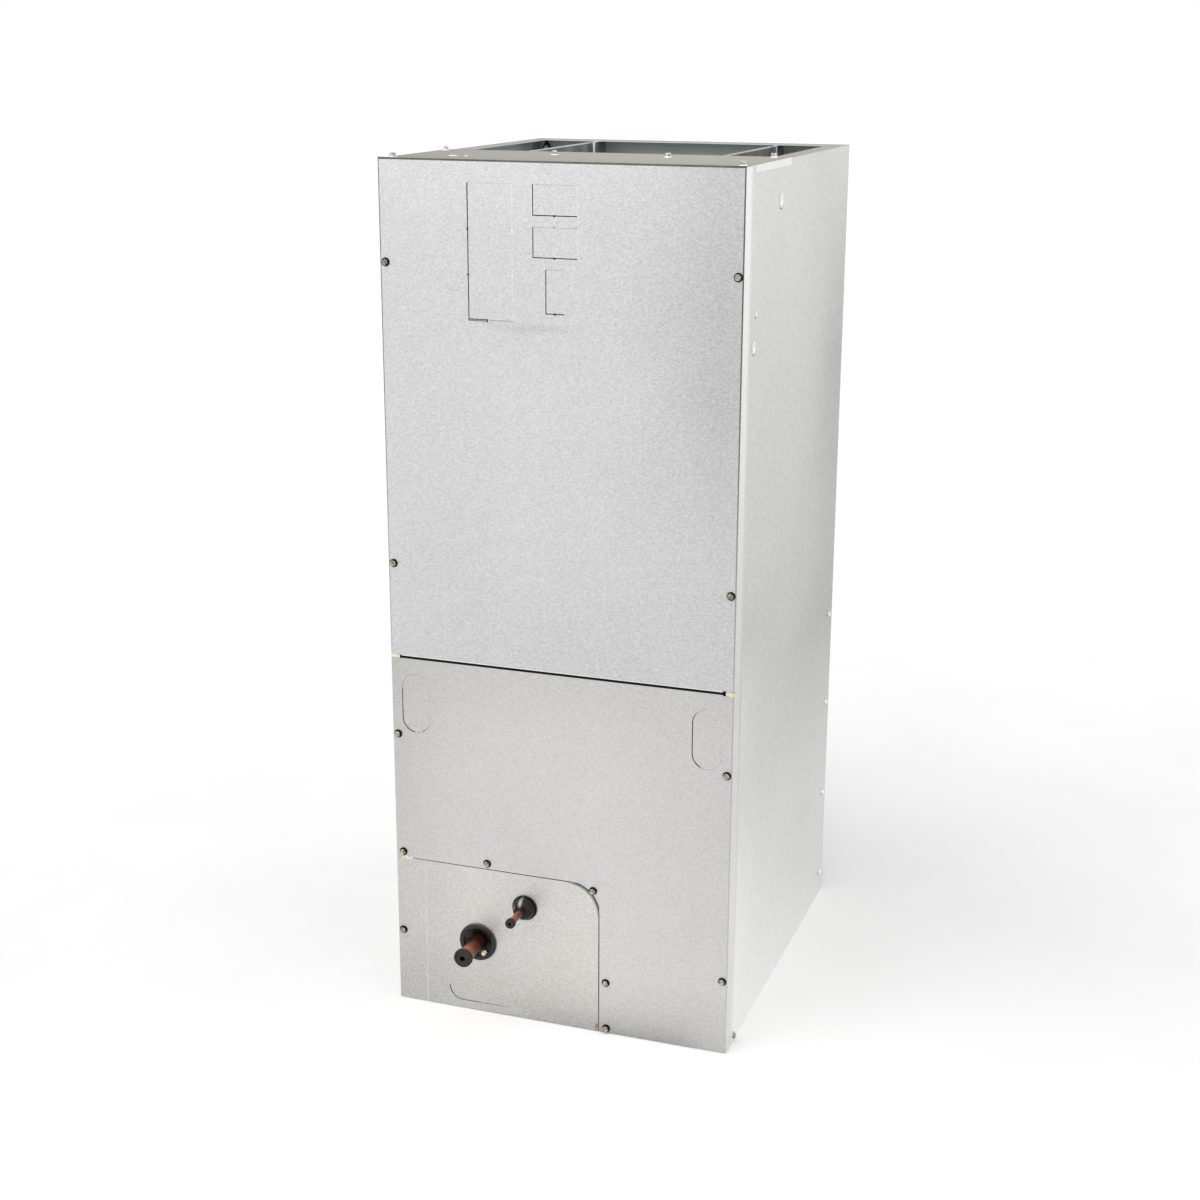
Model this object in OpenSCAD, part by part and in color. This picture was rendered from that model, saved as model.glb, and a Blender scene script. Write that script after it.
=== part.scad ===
// Air handling unit: an upright cabinet of galvanised sheet, with a coil in its lower part and a blower above it.
// The origin is at the middle of the cabinet's foot, the front faces -Y and up is +Z. Lengths are in millimetres.

/* [Cabinet] */
// Width across the front panels
cabinet_w = 470; // [460:1:600]
// Depth from the front panels to the back panel
cabinet_d = 550; // [540:1:680]
// Height from the floor to the upper edge of the front panels
cabinet_h = 1144; // [1130:1:1300]
// Thickness of the galvanised sheet
sheet = 1; // [0.8:0.1:1.4]
// Width of the side panels' flanges behind the front panels
front_flange = 42; // [34:1:50]
// Size of the bevelled bend between a side panel and its front flange
bend = 2; // [1:0.5:4]
// Width of the proud band along the front edge of a side panel
band_w = 35; // [25:1:38]
// Width of the flanges turned in along the top and the foot
duct_flange = 25; // [18:1:30]
// Width of the back panel's flange along the top
back_flange = 37; // [25:1:37]
// Width of the back panel's flanges inside the side panels
back_wing = 40; // [25:1:50]
// Height of the lip round the base frame
base_lip = 20; // [12:1:28]

/* [Front panels] */
// Height of the seam between the two access panels
seam_z = 500; // [490:1:530]
// Gap between the access panels at the seam
seam_gap = 4; // [2:0.5:6]
// Rise of the upper panel above the top plate
panel_rise = 1.5; // [0.5:0.5:3]
// Gap between the lower panel and the floor
floor_gap = 1; // [0:0.5:3]
// Height of the rail behind the seam
rail_h = 60; // [40:1:80]
// Depth of the rail behind the seam
rail_d = 20; // [12:1:30]
// Space from the cabinet's edges to the ends of the seam's gasket
gasket_inset = 12; // [5:1:20]

/* [Knockouts] */
// Width of the slit at the lower left of a knockout
slit = 1.2; // [0.8:0.1:1.6]
// Width of the slit at its upper right
hair = 0.1; // [0.1:0.05:0.3]
// Width of the tabs that hold a knockout
tab = 3; // [2:0.5:5]
// Diameter of the nicks in a slit
nick = 2.4; // [1.6:0.1:3]
// Space above the upper knockouts
knockout_drop = 28; // [20:1:40]
// Middle of the breaker knockout, across the cabinet
breaker_x = -87; // [-120:1:-70]
// Width of the breaker knockout
breaker_w = 59; // [40:1:64]
// Height of the breaker knockout
breaker_h = 166; // [120:1:180]
// Width of the slot at the breaker knockout's lower left
pry_w = 26; // [15:1:30]
// Height of that slot
pry_h = 3; // [2:0.5:4]
// Middle of the conduit knockouts, across the cabinet
conduit_x = -2; // [-10:1:60]
// Width of the conduit knockouts
conduit_w = 58; // [40:1:66]
// Height of the conduit knockouts
conduit_h = 37; // [25:1:44]
// Space between the conduit knockouts
conduit_gap = 13.5; // [8:0.5:20]
// Width of the low-voltage knockout under them
signal_w = 25; // [15:1:40]
// Height of the low-voltage knockout
signal_h = 54; // [30:1:64]
// Width of the obround knockouts near the seam
grip_w = 40; // [24:1:44]
// Height of the obround knockouts near the seam
grip_h = 81; // [60:1:100]
// Space from a side of the cabinet to the middle of an obround knockout
grip_inset = 34; // [30:1:50]
// Drop from the seam to the middle of an obround knockout
grip_drop = 64; // [60:1:80]

/* [Pipe plate] */
// Width of the pipe plate's face, from the left side of the cabinet
plate_w = 292; // [260:1:330]
// Height of the pipe plate's face above the floor
plate_h = 212.5; // [205:0.5:260]
// Radius of the face's free corner
plate_r = 41; // [30:1:50]
// Radius of the corner that the lower panel is cut to
cutout_r = 32; // [15:1:40]
// Gap between the face and the lower panel
plate_gap = 0.6; // [0.3:0.1:1.5]
// Width of the margin that laps behind the lower panel
plate_margin = 15; // [8:1:25]
// Width of the drain knockout
drain_w = 100; // [60:1:110]
// Height of the drain knockout
drain_h = 38; // [25:1:44]
// Space from the left side of the cabinet to the drain knockout
drain_inset = 75; // [60:1:90]
// Height of the drain knockout's lower edge above the floor
drain_z = 12; // [6:1:20]

/* [Refrigerant stubs] */
// Place of the suction stub, across the cabinet
suction_x = -116.5; // [-140:0.5:-105]
// Height of the suction stub above the floor
suction_z = 104; // [95:0.5:115]
// Outer diameter of the suction stub
suction_d = 19; // [15:0.5:23]
// Outer diameter of the suction grommet
suction_grommet_d = 53; // [44:1:60]
// Outer diameter of the suction stub's cap
suction_cap_d = 25.5; // [24:0.5:30]
// Place of the liquid stub, across the cabinet
liquid_x = -48; // [-60:0.5:-30]
// Height of the liquid stub above the floor
liquid_z = 165.5; // [155:0.5:180]
// Outer diameter of the liquid stub
liquid_d = 9.5; // [6:0.5:12]
// Outer diameter of the liquid grommet
liquid_grommet_d = 35; // [28:1:42]
// Outer diameter of the liquid stub's cap
liquid_cap_d = 13.5; // [13:0.5:18]
// Height of the liquid grommet's dome in front of the plate
dome_h = 15; // [8:1:20]
// Wall of the copper stubs
stub_wall = 1.1; // [0.7:0.1:1.5]
// Length of the stubs and caps in front of the pipe plate
stub_reach = 55; // [40:1:80]
// Length of the caps over the stubs
cap_len = 6; // [5:0.5:12]
// Thickness of the caps' closed ends
cap_end = 2.5; // [1.5:0.5:4]
// Clearance round the stubs and grommets
stub_fit = 0.2; // [0.1:0.05:0.4]

/* [Top] */
// Depth of the top plate, from the front
top_plate_d = 212; // [190:1:216]
// Height of the top plate's flanges over the side panels
top_lip = 9; // [6:1:14]
// Set-back of those flanges from the front
top_lip_start = 42; // [40:1:60]
// Height of the top plate's hook behind the upper panel
top_hook = 22; // [15:1:25]
// Height of the blower deck's underside above the floor
deck_z = 944; // [930:1:950]
// Height of the lips along the deck's sides
deck_lip = 16; // [10:1:25]
// Middle of the supply duct, across the cabinet
duct_x = 4; // [0:1:8]
// Width of the supply duct between its collar plates
duct_w = 268; // [262:1:290]
// Width of the collar plates' flanges on the back panel
collar_wing = 20; // [12:1:25]
// Tuck of the front collar plate under the top plate
collar_tuck = 10; // [5:1:20]
// Size of the three-cornered clip in the rear left corner
clip = 20; // [12:1:24]

/* [Blower] */
// Diameter of the blower wheel
wheel_d = 254; // [230:1:262]
// Number of blades on the wheel
blades = 40; // [24:1:48]
// Radial depth of the blades
blade_depth = 28; // [20:1:34]
// Thickness of the blades
blade_t = 1; // [0.6:0.1:1.6]
// Turn of a blade from its inner edge to its outer edge, in degrees
blade_turn = 9; // [4:1:14]
// Width of the scroll between its side plates
scroll_w = 240; // [220:1:250]
// Space between the wheel and the scroll's side plates
wheel_gap = 18; // [15:1:25]
// Radial gap from the wheel to the start of the scroll
scroll_start = 28; // [22:1:30]
// Growth of the scroll in each quarter turn
scroll_step = 28; // [20:1:29]
// Angle of the cut-off, from the back
cutoff_angle = 110; // [100:1:115]
// Rim of the side plates round the scroll
scroll_rim = 8; // [4:1:12]
// Space between the scroll and the back panel
scroll_back = 30; // [26:1:40]
// Drop from the deck to the top of the wheel
outlet_drop = 60; // [45:1:75]
// Radius of the flare at the inlets
flare = 12; // [6:1:13]
// Width of the flange round the inlet rings
ring_flange = 8; // [5:1:10]
// Diameter of the motor
motor_d = 140; // [110:1:150]
// Length of the motor outside the scroll
motor_out = 45; // [40:1:60]
// Diameter of the motor's shaft
shaft_d = 12.7; // [10:0.1:16]
// Length of the wheel's hub
hub_len = 44; // [30:1:50]

/* [Coil] */
// Height of the drain pan
pan_h = 45; // [35:1:55]
// Wall of the drain pan
pan_wall = 3; // [2:0.5:4]
// Width of the return opening in the drain pan
return_w = 260; // [230:1:270]
// Width of the pan's troughs in front of and behind the return opening
trough = 52; // [46:1:65]
// Clearance round the drain pan
pan_fit = 2; // [1:0.5:4]
// Height of the coil slabs
coil_h = 400; // [360:1:410]
// Thickness of the coil slabs
coil_t = 44; // [30:1:50]
// Half of the gap between the slabs at the top
coil_gap = 6; // [3:1:12]
// Set-back of the coil's end plates from the pan's outer walls
coil_inset = 24; // [18:1:30]
// Lift of the slabs above the pan's floor
coil_lift = 4; // [2:0.5:8]

/* [Hidden] */
$fn = 72;

steel = [0.80, 0.81, 0.81];
black = [0.07, 0.07, 0.075];
copper = [0.62, 0.34, 0.22];
fins = [0.72, 0.74, 0.76];
motor_grey = [0.25, 0.26, 0.27];

half_w = cabinet_w / 2;
front_y = -cabinet_d / 2;
back_y = cabinet_d / 2;
top_z = cabinet_h - panel_rise;

// Layers of sheet behind the front panels, and inside the side panels
flange_y = front_y + sheet;
behind_y = front_y + 2 * sheet;
side_x = half_w - sheet;
wall_x = half_w - 2 * sheet;
inner_x = half_w - 3 * sheet;
back_in = back_y - sheet;
flange_top = top_z - sheet;
flange_under = top_z - 2 * sheet;

// The joggle behind the band runs over this length
joggle_run = 2 * sheet;

// Knockouts in a side panel: set-back from the front, drop from the top, diameter
side_knockouts = [[170, 50, 22], [62, 177, 12], [55, 217, 20]];
// Knockouts in the top plate: place across the cabinet, set-back from the front, diameter
top_knockouts = [[-168, 78, 14], [-150, 78, 8]];
knockout_top = cabinet_h - knockout_drop;

plate_x = plate_w - half_w;
plate_y = front_y + top_plate_d;
collar_y = plate_y - collar_tuck;
collar_left = duct_x - duct_w / 2;
collar_right = duct_x + duct_w / 2;
deck_top = deck_z + sheet;

// The stubs: a socket is swaged on the suction stub's end
socket_d = suction_d + 2 * stub_wall;
socket_len = cap_len + 6;
stub_end = stub_reach - cap_end;
cap_round = 1.5;
grommet_lip = 3.5;
grommet_back = 2.5;
grommet_seat = 3.5;
diaphragm_t = 2;
diaphragm_set = 7;
dome_wall = 2.2;
star_slits = 8;

// The scroll is three quarter arcs round the corners of a small square, and a straight outlet
wheel_r = wheel_d / 2;
scroll_r = wheel_r + scroll_start;
corner = scroll_step / 2;
outlet_back = corner + scroll_r + 2 * scroll_step;
cutoff_y = scroll_r * cos(cutoff_angle) - corner;
wheel_y = back_in - scroll_back - scroll_rim - outlet_back;
wheel_z = deck_z - outlet_drop - wheel_r;
outlet_top = deck_z - wheel_z;
wheel_w = scroll_w - 2 * wheel_gap;
inlet_r = wheel_r - blade_depth;
rim_t = 3;
rim_w = 10;
hub_d = 38;
web_t = 2;
motor_start = hub_len / 2 + 8;
motor_end = scroll_w / 2 + motor_out;
band_t = 2;
arm_w = 26;
arm_t = 3;

// The pan stands on the base frame, and the coil in the pan
pan_x = inner_x - sheet - pan_fit;
pan_front = behind_y + sheet + pan_fit;
pan_back = back_in - sheet - pan_fit;
pan_r = 14;
pan_floor = sheet + pan_wall;
foot_z = pan_floor;
slab_z = foot_z + coil_lift;
coil_front = pan_front + pan_wall + coil_inset;
coil_back = pan_back - pan_wall - coil_inset;

// A slab leans so that its inner face passes over the wall round the return opening
slab_clear = return_w / 2 + pan_wall + pan_fit;
wall_share = (pan_h + sheet - slab_z) / coil_h;
slab_foot = (slab_clear - wall_share * coil_gap) / (1 - wall_share);
lean = atan2(slab_foot - coil_gap, coil_h);
slab_out = [coil_t * cos(lean), coil_t * sin(lean)];
slab_low = [slab_foot, slab_z];
slab_high = [coil_gap, slab_z + coil_h];

// Outline of a sheet folded along a path, with its thickness on the left of the path
function unit(v) = v / norm(v);
function left_of(v) = [-v[1], v[0]];
function mitre(a, b) =
    let (na = left_of(unit(a)), nb = left_of(unit(b)))
    (na + nb) / (1 + na * nb);
function side_step(path, i) =
    i == 0 ? left_of(unit(path[1] - path[0])) :
    i == len(path) - 1 ? left_of(unit(path[i] - path[i - 1])) :
    mitre(path[i] - path[i - 1], path[i + 1] - path[i]);
function fold(path, t) = concat(
    path,
    [for (i = [len(path) - 1:-1:0]) path[i] + t * side_step(path, i)]
);
function polar(r, a) = [r * cos(a), r * sin(a)];

module box(low, high) {
    translate(low)
    cube(high - low);
}

module span(x0, x1, y0, y1) {
    translate([x0, y0])
    square([x1 - x0, y1 - y0]);
}

// Extrudes a (y, z) outline along X
module along_x(from, to) {
    translate([from, 0, 0])
    rotate([90, 0, 90])
    linear_extrude(to - from)
    children();
}

// Extrudes an (x, z) outline along Y
module along_y(from, to) {
    translate([0, to, 0])
    rotate([90, 0, 0])
    linear_extrude(to - from)
    children();
}

module both_sides() {
    children();
    mirror([1, 0, 0])
    children();
}

// A turned shape on an axis that points out of the front
module out_of_front(x, z) {
    translate([x, front_y, z])
    rotate([90, 0, 0])
    rotate_extrude()
    children();
}

// Shapes round the blower's shaft, with +Z along the shaft towards the right
module on_shaft() {
    translate([duct_x, wheel_y, wheel_z])
    rotate([0, 90, 0])
    children();
}

module obround(w, h) {
    square([w, h - w], center = true);
    for (end = [-1, 1])
        translate([0, end * (h - w) / 2])
        circle(d = w);
}

module rounded(w, h, r) {
    square([w, h - 2 * r], center = true);
    square([w - 2 * r, h], center = true);
    for (sx = [-1, 1], sy = [-1, 1])
        translate([sx * (w / 2 - r), sy * (h / 2 - r)])
        circle(r);
}

// A knockout sits towards the upper right of its hole, so the slit round it opens at the lower left
module in_hole() {
    shift = (slit - hair) / 2;
    translate([shift, shift])
    children();
}

// Slits round the knockouts, with tabs where the children are
module box_slit(w, h) {
    difference() {
        square([w, h], center = true);
        in_hole()
        square([w - slit - hair, h - slit - hair], center = true);
        children();
    }
}

module obround_slit(w, h, turn) {
    difference() {
        rotate(turn)
        obround(w, h);
        in_hole()
        rotate(turn)
        obround(w - slit - hair, h - slit - hair);
        square([tab, 2 * h], center = true);
    }
}

module round_slit(d) {
    difference() {
        circle(d = d);
        in_hole()
        circle(d = d - slit - hair);
        square([tab / 2, 2 * d], center = true);
    }
}

// A side panel: a folded sheet with a proud band along its front edge
module side_panel() {
    plan = [
        [half_w - front_flange, flange_y],
        [half_w - bend, flange_y],
        [half_w, flange_y + bend],
        [half_w, front_y + band_w],
        [side_x, front_y + band_w + joggle_run],
        [side_x, back_y],
    ];
    difference() {
        union() {
            linear_extrude(flange_top)
            polygon(fold(plan, sheet));
            box([side_x - duct_flange, flange_y, flange_under], [side_x, back_y, flange_top]);
        }
        for (k = side_knockouts)
            along_x(inner_x, half_w)
            translate([front_y + k[0], top_z - k[1]])
            round_slit(k[2]);
    }
}

module left_side_panel() {
    color(steel)
    mirror([1, 0, 0])
    side_panel();
}

module right_side_panel() {
    color(steel)
    side_panel();
}

// The back panel sits between the side panels, and its wings lie inside them
module back_panel() {
    plan = [[wall_x, back_y - back_wing], [wall_x, back_y], [-wall_x, back_y], [-wall_x, back_y - back_wing]];
    color(steel) {
        linear_extrude(flange_under)
        polygon(fold(plan, sheet));
        box(
            [duct_flange - side_x, back_y - back_flange, flange_under],
            [side_x - duct_flange, back_y, flange_top]
        );
        box(
            [duct_flange - side_x, back_in, flange_under - sheet],
            [side_x - duct_flange, back_y, flange_top]
        );
    }
}

// The base frame: a flange round the return opening, with a lip inside the panels
module base_frame() {
    color(steel)
    difference() {
        box([-inner_x, behind_y, 0], [inner_x, back_in, base_lip]);
        box(
            [sheet - inner_x, behind_y + sheet, sheet],
            [inner_x - sheet, back_in - sheet, base_lip + sheet]
        );
        box(
            [duct_flange - inner_x, behind_y + duct_flange, -sheet],
            [inner_x - duct_flange, back_in - duct_flange, 2 * sheet]
        );
    }
}

// The rail behind the seam, a channel that opens to the back
module middle_rail() {
    reach = half_w - front_flange;
    low = seam_z - rail_h / 2;
    high = seam_z + rail_h / 2;
    side = [[flange_y + rail_d, high], [flange_y, high], [flange_y, low], [flange_y + rail_d, low]];
    color(steel)
    along_x(-reach, reach)
    polygon(fold(side, sheet));
}

module seam_gasket() {
    reach = half_w - gasket_inset;
    color(black)
    box(
        [-reach, front_y + sheet / 4, seam_z - seam_gap / 2],
        [reach, flange_y, seam_z + seam_gap / 2]
    );
}

// Two tabs hold the breaker knockout at its right, and a wider slot at its lower left takes a screwdriver
module breaker_slit() {
    low = -breaker_h / 2;
    left = -breaker_w / 2;
    box_slit(breaker_w, breaker_h) {
        for (share = [-1, 1])
            translate([-left, share * breaker_h / 6])
            square(tab, center = true);
        translate([left + pry_w + tab / 2, low])
        square(tab, center = true);
    }
    for (share = [-1, 1])
        translate([left + slit / 2, share * breaker_h / 6])
        circle(d = nick);
    span(left, left + pry_w, low + slit - pry_h, low + slit);
}

// A small knockout, held by one tab at its right and nicked at the bottom
module small_slit(w, h) {
    box_slit(w, h)
    translate([w / 2, 0])
    square(tab, center = true);
    translate([0, slit / 2 - h / 2])
    circle(d = nick);
}

module upper_slits() {
    pitch = conduit_h + conduit_gap;
    translate([breaker_x, -breaker_h / 2])
    breaker_slit();
    for (row = [0, 1])
        translate([conduit_x, -row * pitch - conduit_h / 2])
        small_slit(conduit_w, conduit_h);
    translate([conduit_x, -2 * pitch - signal_h / 2])
    small_slit(signal_w, signal_h);
}

module blower_access_panel() {
    color(steel)
    along_y(front_y, flange_y)
    difference() {
        span(-half_w, half_w, seam_z + seam_gap / 2, cabinet_h);
        translate([0, knockout_top])
        upper_slits();
    }
}

// The pipe plate's face, a sheet with one rounded corner, cut back all round by inset
module plate_face(inset, r) {
    x = plate_x - inset;
    z = plate_h - inset;
    span(-half_w, x - r, floor_gap, z);
    span(-half_w, x, floor_gap, z - r);
    translate([x - r, z - r])
    circle(r);
}

module coil_access_panel() {
    color(steel)
    along_y(front_y, flange_y)
    difference() {
        span(-half_w, half_w, floor_gap, seam_z - seam_gap / 2);
        plate_face(-plate_gap, cutout_r);
        for (x = [grip_inset - half_w, half_w - grip_inset])
            translate([x, seam_z - grip_drop])
            obround_slit(grip_w, grip_h, 0);
    }
}

module pipe_holes() {
    translate([suction_x, suction_z])
    circle(d = suction_grommet_d - 2 * grommet_seat);
    translate([liquid_x, liquid_z])
    circle(d = liquid_grommet_d - 2 * grommet_seat);
}

// The pipe plate is pressed forward so that its face is flush with the panel that laps its margin
module pipe_plate() {
    color(steel) {
        along_y(front_y, flange_y)
        difference() {
            plate_face(0, plate_r);
            pipe_holes();
            translate([drain_inset + drain_w / 2 - half_w, drain_z + drain_h / 2])
            obround_slit(drain_h, drain_w, 90);
        }
        along_y(flange_y, behind_y)
        difference() {
            span(front_flange - half_w, plate_x + plate_margin, floor_gap, plate_h + plate_margin);
            plate_face(sheet, plate_r - sheet);
            span(-half_w, plate_x - plate_r, 0, floor_gap + sheet);
        }
    }
}

module top_front_plate() {
    hook = half_w - front_flange;
    color(steel)
    difference() {
        union() {
            box([-half_w, flange_y, flange_top], [half_w, plate_y, top_z]);
            box([-hook, flange_y, flange_top - top_hook], [hook, behind_y, top_z]);
            both_sides()
            box([side_x, front_y + top_lip_start, top_z - top_lip], [half_w, plate_y, top_z]);
        }
        for (k = top_knockouts)
            translate([k[0], front_y + k[1], flange_top - sheet])
            linear_extrude(3 * sheet)
            round_slit(k[2]);
    }
}

// The suction grommet: a flat ring whose cone is slit like a star round the stub
module suction_grommet() {
    rim = suction_grommet_d / 2;
    neck = rim - grommet_seat - stub_fit;
    hole = suction_d / 2 + stub_fit;
    lip = neck - diaphragm_t;
    color(black)
    difference() {
        out_of_front(suction_x, suction_z)
        polygon([
            [hole, -diaphragm_set - diaphragm_t],
            [lip, -sheet - grommet_back],
            [rim - 1, -sheet - grommet_back],
            [rim - 1, -sheet],
            [neck, -sheet],
            [neck, 0],
            [rim, 0],
            [rim, grommet_lip - 1],
            [rim - 1, grommet_lip],
            [lip, grommet_lip],
            [lip - 1, grommet_lip - 1],
            [lip - 1, -sheet],
            [hole, -diaphragm_set],
        ]);
        for (i = [0:star_slits - 1])
            translate([suction_x, front_y, suction_z])
            rotate([0, i * 360 / star_slits, 0])
            translate([hole - 1, -sheet / 2, -slit / 2])
            cube([lip - hole - 1, 2 * diaphragm_set, slit]);
    }
}

// The liquid grommet: a hollow dome round the stub
module liquid_grommet() {
    rim = liquid_grommet_d / 2;
    neck = rim - grommet_seat - stub_fit;
    hole = liquid_d / 2 + stub_fit;
    tip = hole + dome_wall;
    outside = [for (a = [0:10:80]) [tip + (rim - 2 - tip) * cos(a), 2 + (dome_h - 2) * sin(a)]];
    inside = [for (a = [80:-10:0]) [hole + (neck - dome_wall - hole) * cos(a), (dome_h - dome_wall) * sin(a)]];
    color(black)
    out_of_front(liquid_x, liquid_z)
    polygon(concat(
        [
            [neck - dome_wall, -sheet - grommet_back],
            [rim - 1, -sheet - grommet_back],
            [rim - 1, -sheet],
            [neck, -sheet],
            [neck, 0],
            [rim, 0],
            [rim, 2],
        ],
        outside,
        [[tip, dome_h], [hole, dome_h]],
        inside
    ));
}

module suction_stub() {
    tube = suction_d / 2;
    socket = socket_d / 2;
    start = coil_front - sheet - front_y;
    color(copper)
    out_of_front(suction_x, suction_z)
    polygon([
        [tube - stub_wall, -start],
        [tube, -start],
        [tube, stub_end - socket_len - stub_wall],
        [socket, stub_end - socket_len],
        [socket, stub_end],
        [socket - stub_wall, stub_end],
        [socket - stub_wall, stub_end - socket_len],
        [tube - stub_wall, stub_end - socket_len - stub_wall],
    ]);
}

module liquid_stub() {
    tube = liquid_d / 2;
    start = coil_front - sheet - front_y;
    color(copper)
    out_of_front(liquid_x, liquid_z)
    span(tube - stub_wall, tube, -start, stub_end);
}

// A shipping cap: a thick disc with a rounded rim and a dimple in its closed end
module stub_cap(x, z, inner, outer) {
    dimple = inner / 3;
    rim = [for (a = [0:30:90]) [outer - cap_round * (1 - cos(a)), stub_reach - cap_round * (1 - sin(a))]];
    color(black)
    out_of_front(x, z)
    polygon(concat(
        [
            [0, stub_end],
            [inner, stub_end],
            [inner, stub_reach - cap_len],
            [outer, stub_reach - cap_len],
        ],
        rim,
        [
            [dimple, stub_reach],
            [dimple, stub_reach - cap_end / 2],
            [0, stub_reach - cap_end / 2],
        ]
    ));
}

module suction_cap() {
    stub_cap(suction_x, suction_z, socket_d / 2 + stub_fit, suction_cap_d / 2);
}

module liquid_cap() {
    stub_cap(liquid_x, liquid_z, liquid_d / 2 + stub_fit, liquid_cap_d / 2);
}

// The deck closes the cabinet round the blower's outlet
module blower_deck() {
    low = deck_z - deck_lip;
    side = [[wall_x, low], [wall_x, deck_top], [-wall_x, deck_top], [-wall_x, low]];
    color(steel)
    difference() {
        along_y(behind_y, back_in)
        polygon(fold(side, sheet));
        box(
            [duct_x - scroll_w / 2, wheel_y + cutoff_y, deck_z - sheet],
            [duct_x + scroll_w / 2, wheel_y + outlet_back, deck_top + sheet]
        );
        both_sides()
        box([inner_x, back_y - back_wing, low - sheet], [half_w, back_y, deck_top + sheet]);
    }
}

// The collar plates are alike, and each turns its flange to the left on the back panel
module collar_plate(x) {
    plan = [[x, collar_y], [x, back_in], [x - collar_wing, back_in]];
    color(steel)
    translate([0, 0, deck_top])
    linear_extrude(flange_under - deck_top)
    polygon(fold(plan, sheet));
}

module left_collar_plate() {
    collar_plate(collar_left);
}

module right_collar_plate() {
    collar_plate(collar_right + sheet);
}

module front_collar_plate() {
    color(steel)
    along_y(collar_y - sheet, collar_y)
    span(-wall_x, wall_x, deck_top, flange_under);
}

module corner_clip() {
    x = clip / 2 - inner_x;
    z = flange_under - sheet;
    color(black)
    along_y(back_in - clip / 4, back_in)
    polygon([[x, z], [x - clip / 2, z - clip], [x + clip / 2, z - clip]]);
}

module quarter(middle, r, sy, sz) {
    translate(middle)
    intersection() {
        circle(r);
        translate([min(sy, 0) * r, min(sz, 0) * r])
        square(r);
    }
}

// Outline of the scroll round the shaft in (y, z), grown by a margin and ending at a height
module scroll_outline(grow, top) {
    translate([wheel_y, wheel_z]) {
        quarter([-corner, -corner], scroll_r + grow, -1, 1);
        quarter([corner, -corner], scroll_r + scroll_step + grow, -1, -1);
        quarter([corner, corner], scroll_r + 2 * scroll_step + grow, 1, -1);
        span(-scroll_step, corner, -corner, corner);
        span(cutoff_y - grow, outlet_back + grow, corner, top);
    }
}

module scroll_wrap() {
    color(steel)
    along_x(duct_x - scroll_w / 2, duct_x + scroll_w / 2)
    difference() {
        scroll_outline(sheet, outlet_top);
        scroll_outline(0, outlet_top + sheet);
    }
}

// Puts on the left of the scroll what is drawn on its right
module to_left() {
    translate([2 * duct_x, 0, 0])
    mirror([1, 0, 0])
    children();
}

// A side plate of the scroll, with a flange under the deck
module scroll_plate() {
    face = scroll_w / 2;
    translate([duct_x, 0, 0]) {
        along_x(face, face + sheet)
        difference() {
            scroll_outline(scroll_rim, outlet_top);
            translate([wheel_y, wheel_z])
            circle(inlet_r + flare);
        }
        box(
            [face, wheel_y + cutoff_y, deck_z - sheet],
            [face + duct_flange / 2, wheel_y + outlet_back, deck_z]
        );
    }
}

module scroll_left_plate() {
    color(steel)
    to_left()
    scroll_plate();
}

module scroll_right_plate() {
    color(steel)
    scroll_plate();
}

// A spun ring on a side plate, which turns in towards the wheel
module inlet_ring() {
    curl = [for (a = [0:15:90]) [inlet_r + flare - flare * sin(a), flare - flare * cos(a)]];
    profile = concat([[inlet_r + flare + ring_flange, 0]], curl);
    on_shaft()
    translate([0, 0, scroll_w / 2 + sheet])
    mirror([0, 0, 1])
    rotate_extrude()
    polygon(fold(profile, sheet));
}

module left_inlet_ring() {
    color(steel)
    to_left()
    inlet_ring();
}

module right_inlet_ring() {
    color(steel)
    inlet_ring();
}

// A blade curves forward from its inner edge to its outer edge
module blade() {
    path = [for (t = [0:0.25:1]) polar(inlet_r + t * blade_depth, blade_turn * t * t)];
    polygon(fold(path, blade_t));
}

module wheel_ring(low, t, outer, inner) {
    translate([0, 0, low])
    linear_extrude(t)
    difference() {
        circle(outer);
        circle(inner);
    }
}

module wheel_blades() {
    color(steel)
    on_shaft()
    for (i = [0:blades - 1])
        rotate(i * 360 / blades)
        translate([0, 0, rim_t - wheel_w / 2])
        linear_extrude(wheel_w - 2 * rim_t)
        blade();
}

module wheel_rings() {
    color(steel)
    on_shaft()
    for (low = [-wheel_w / 2, wheel_w / 2 - rim_t])
        wheel_ring(low, rim_t, wheel_r, wheel_r - rim_w);
}

// The disc in the middle of the wheel carries the blades at their inner edges
module wheel_disc() {
    bore = shaft_d / 2 + stub_fit;
    color(steel)
    on_shaft() {
        wheel_ring(-web_t / 2, web_t, inlet_r - stub_fit, bore);
        wheel_ring(-hub_len / 2, hub_len, hub_d / 2, bore);
    }
}

module blower_motor() {
    r = motor_d / 2;
    round_off = 8;
    vent = r / 3;
    color(motor_grey)
    on_shaft()
    rotate_extrude()
    polygon([
        [0, -hub_len / 2],
        [shaft_d / 2, -hub_len / 2],
        [shaft_d / 2, motor_start],
        [vent, motor_start],
        [vent, motor_start + round_off],
        [r - round_off, motor_start + round_off],
        [r, motor_start + 2 * round_off],
        [r, motor_end - round_off],
        [r - round_off, motor_end],
        [0, motor_end],
    ]);
}

// A band round the motor, held by three arms on the right inlet ring
module motor_mount() {
    seat = scroll_w / 2 + 2 * sheet;
    r = motor_d / 2 + stub_fit;
    reach = inlet_r + flare + arm_w;
    color(steel)
    on_shaft() {
        wheel_ring(seat, arm_w, r + band_t, r);
        for (a = [0, 120, 240])
            rotate(a)
            translate([r + band_t / 2, -arm_w / 2, seat])
            cube([reach - r - band_t / 2, arm_w, arm_t]);
    }
}

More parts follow.
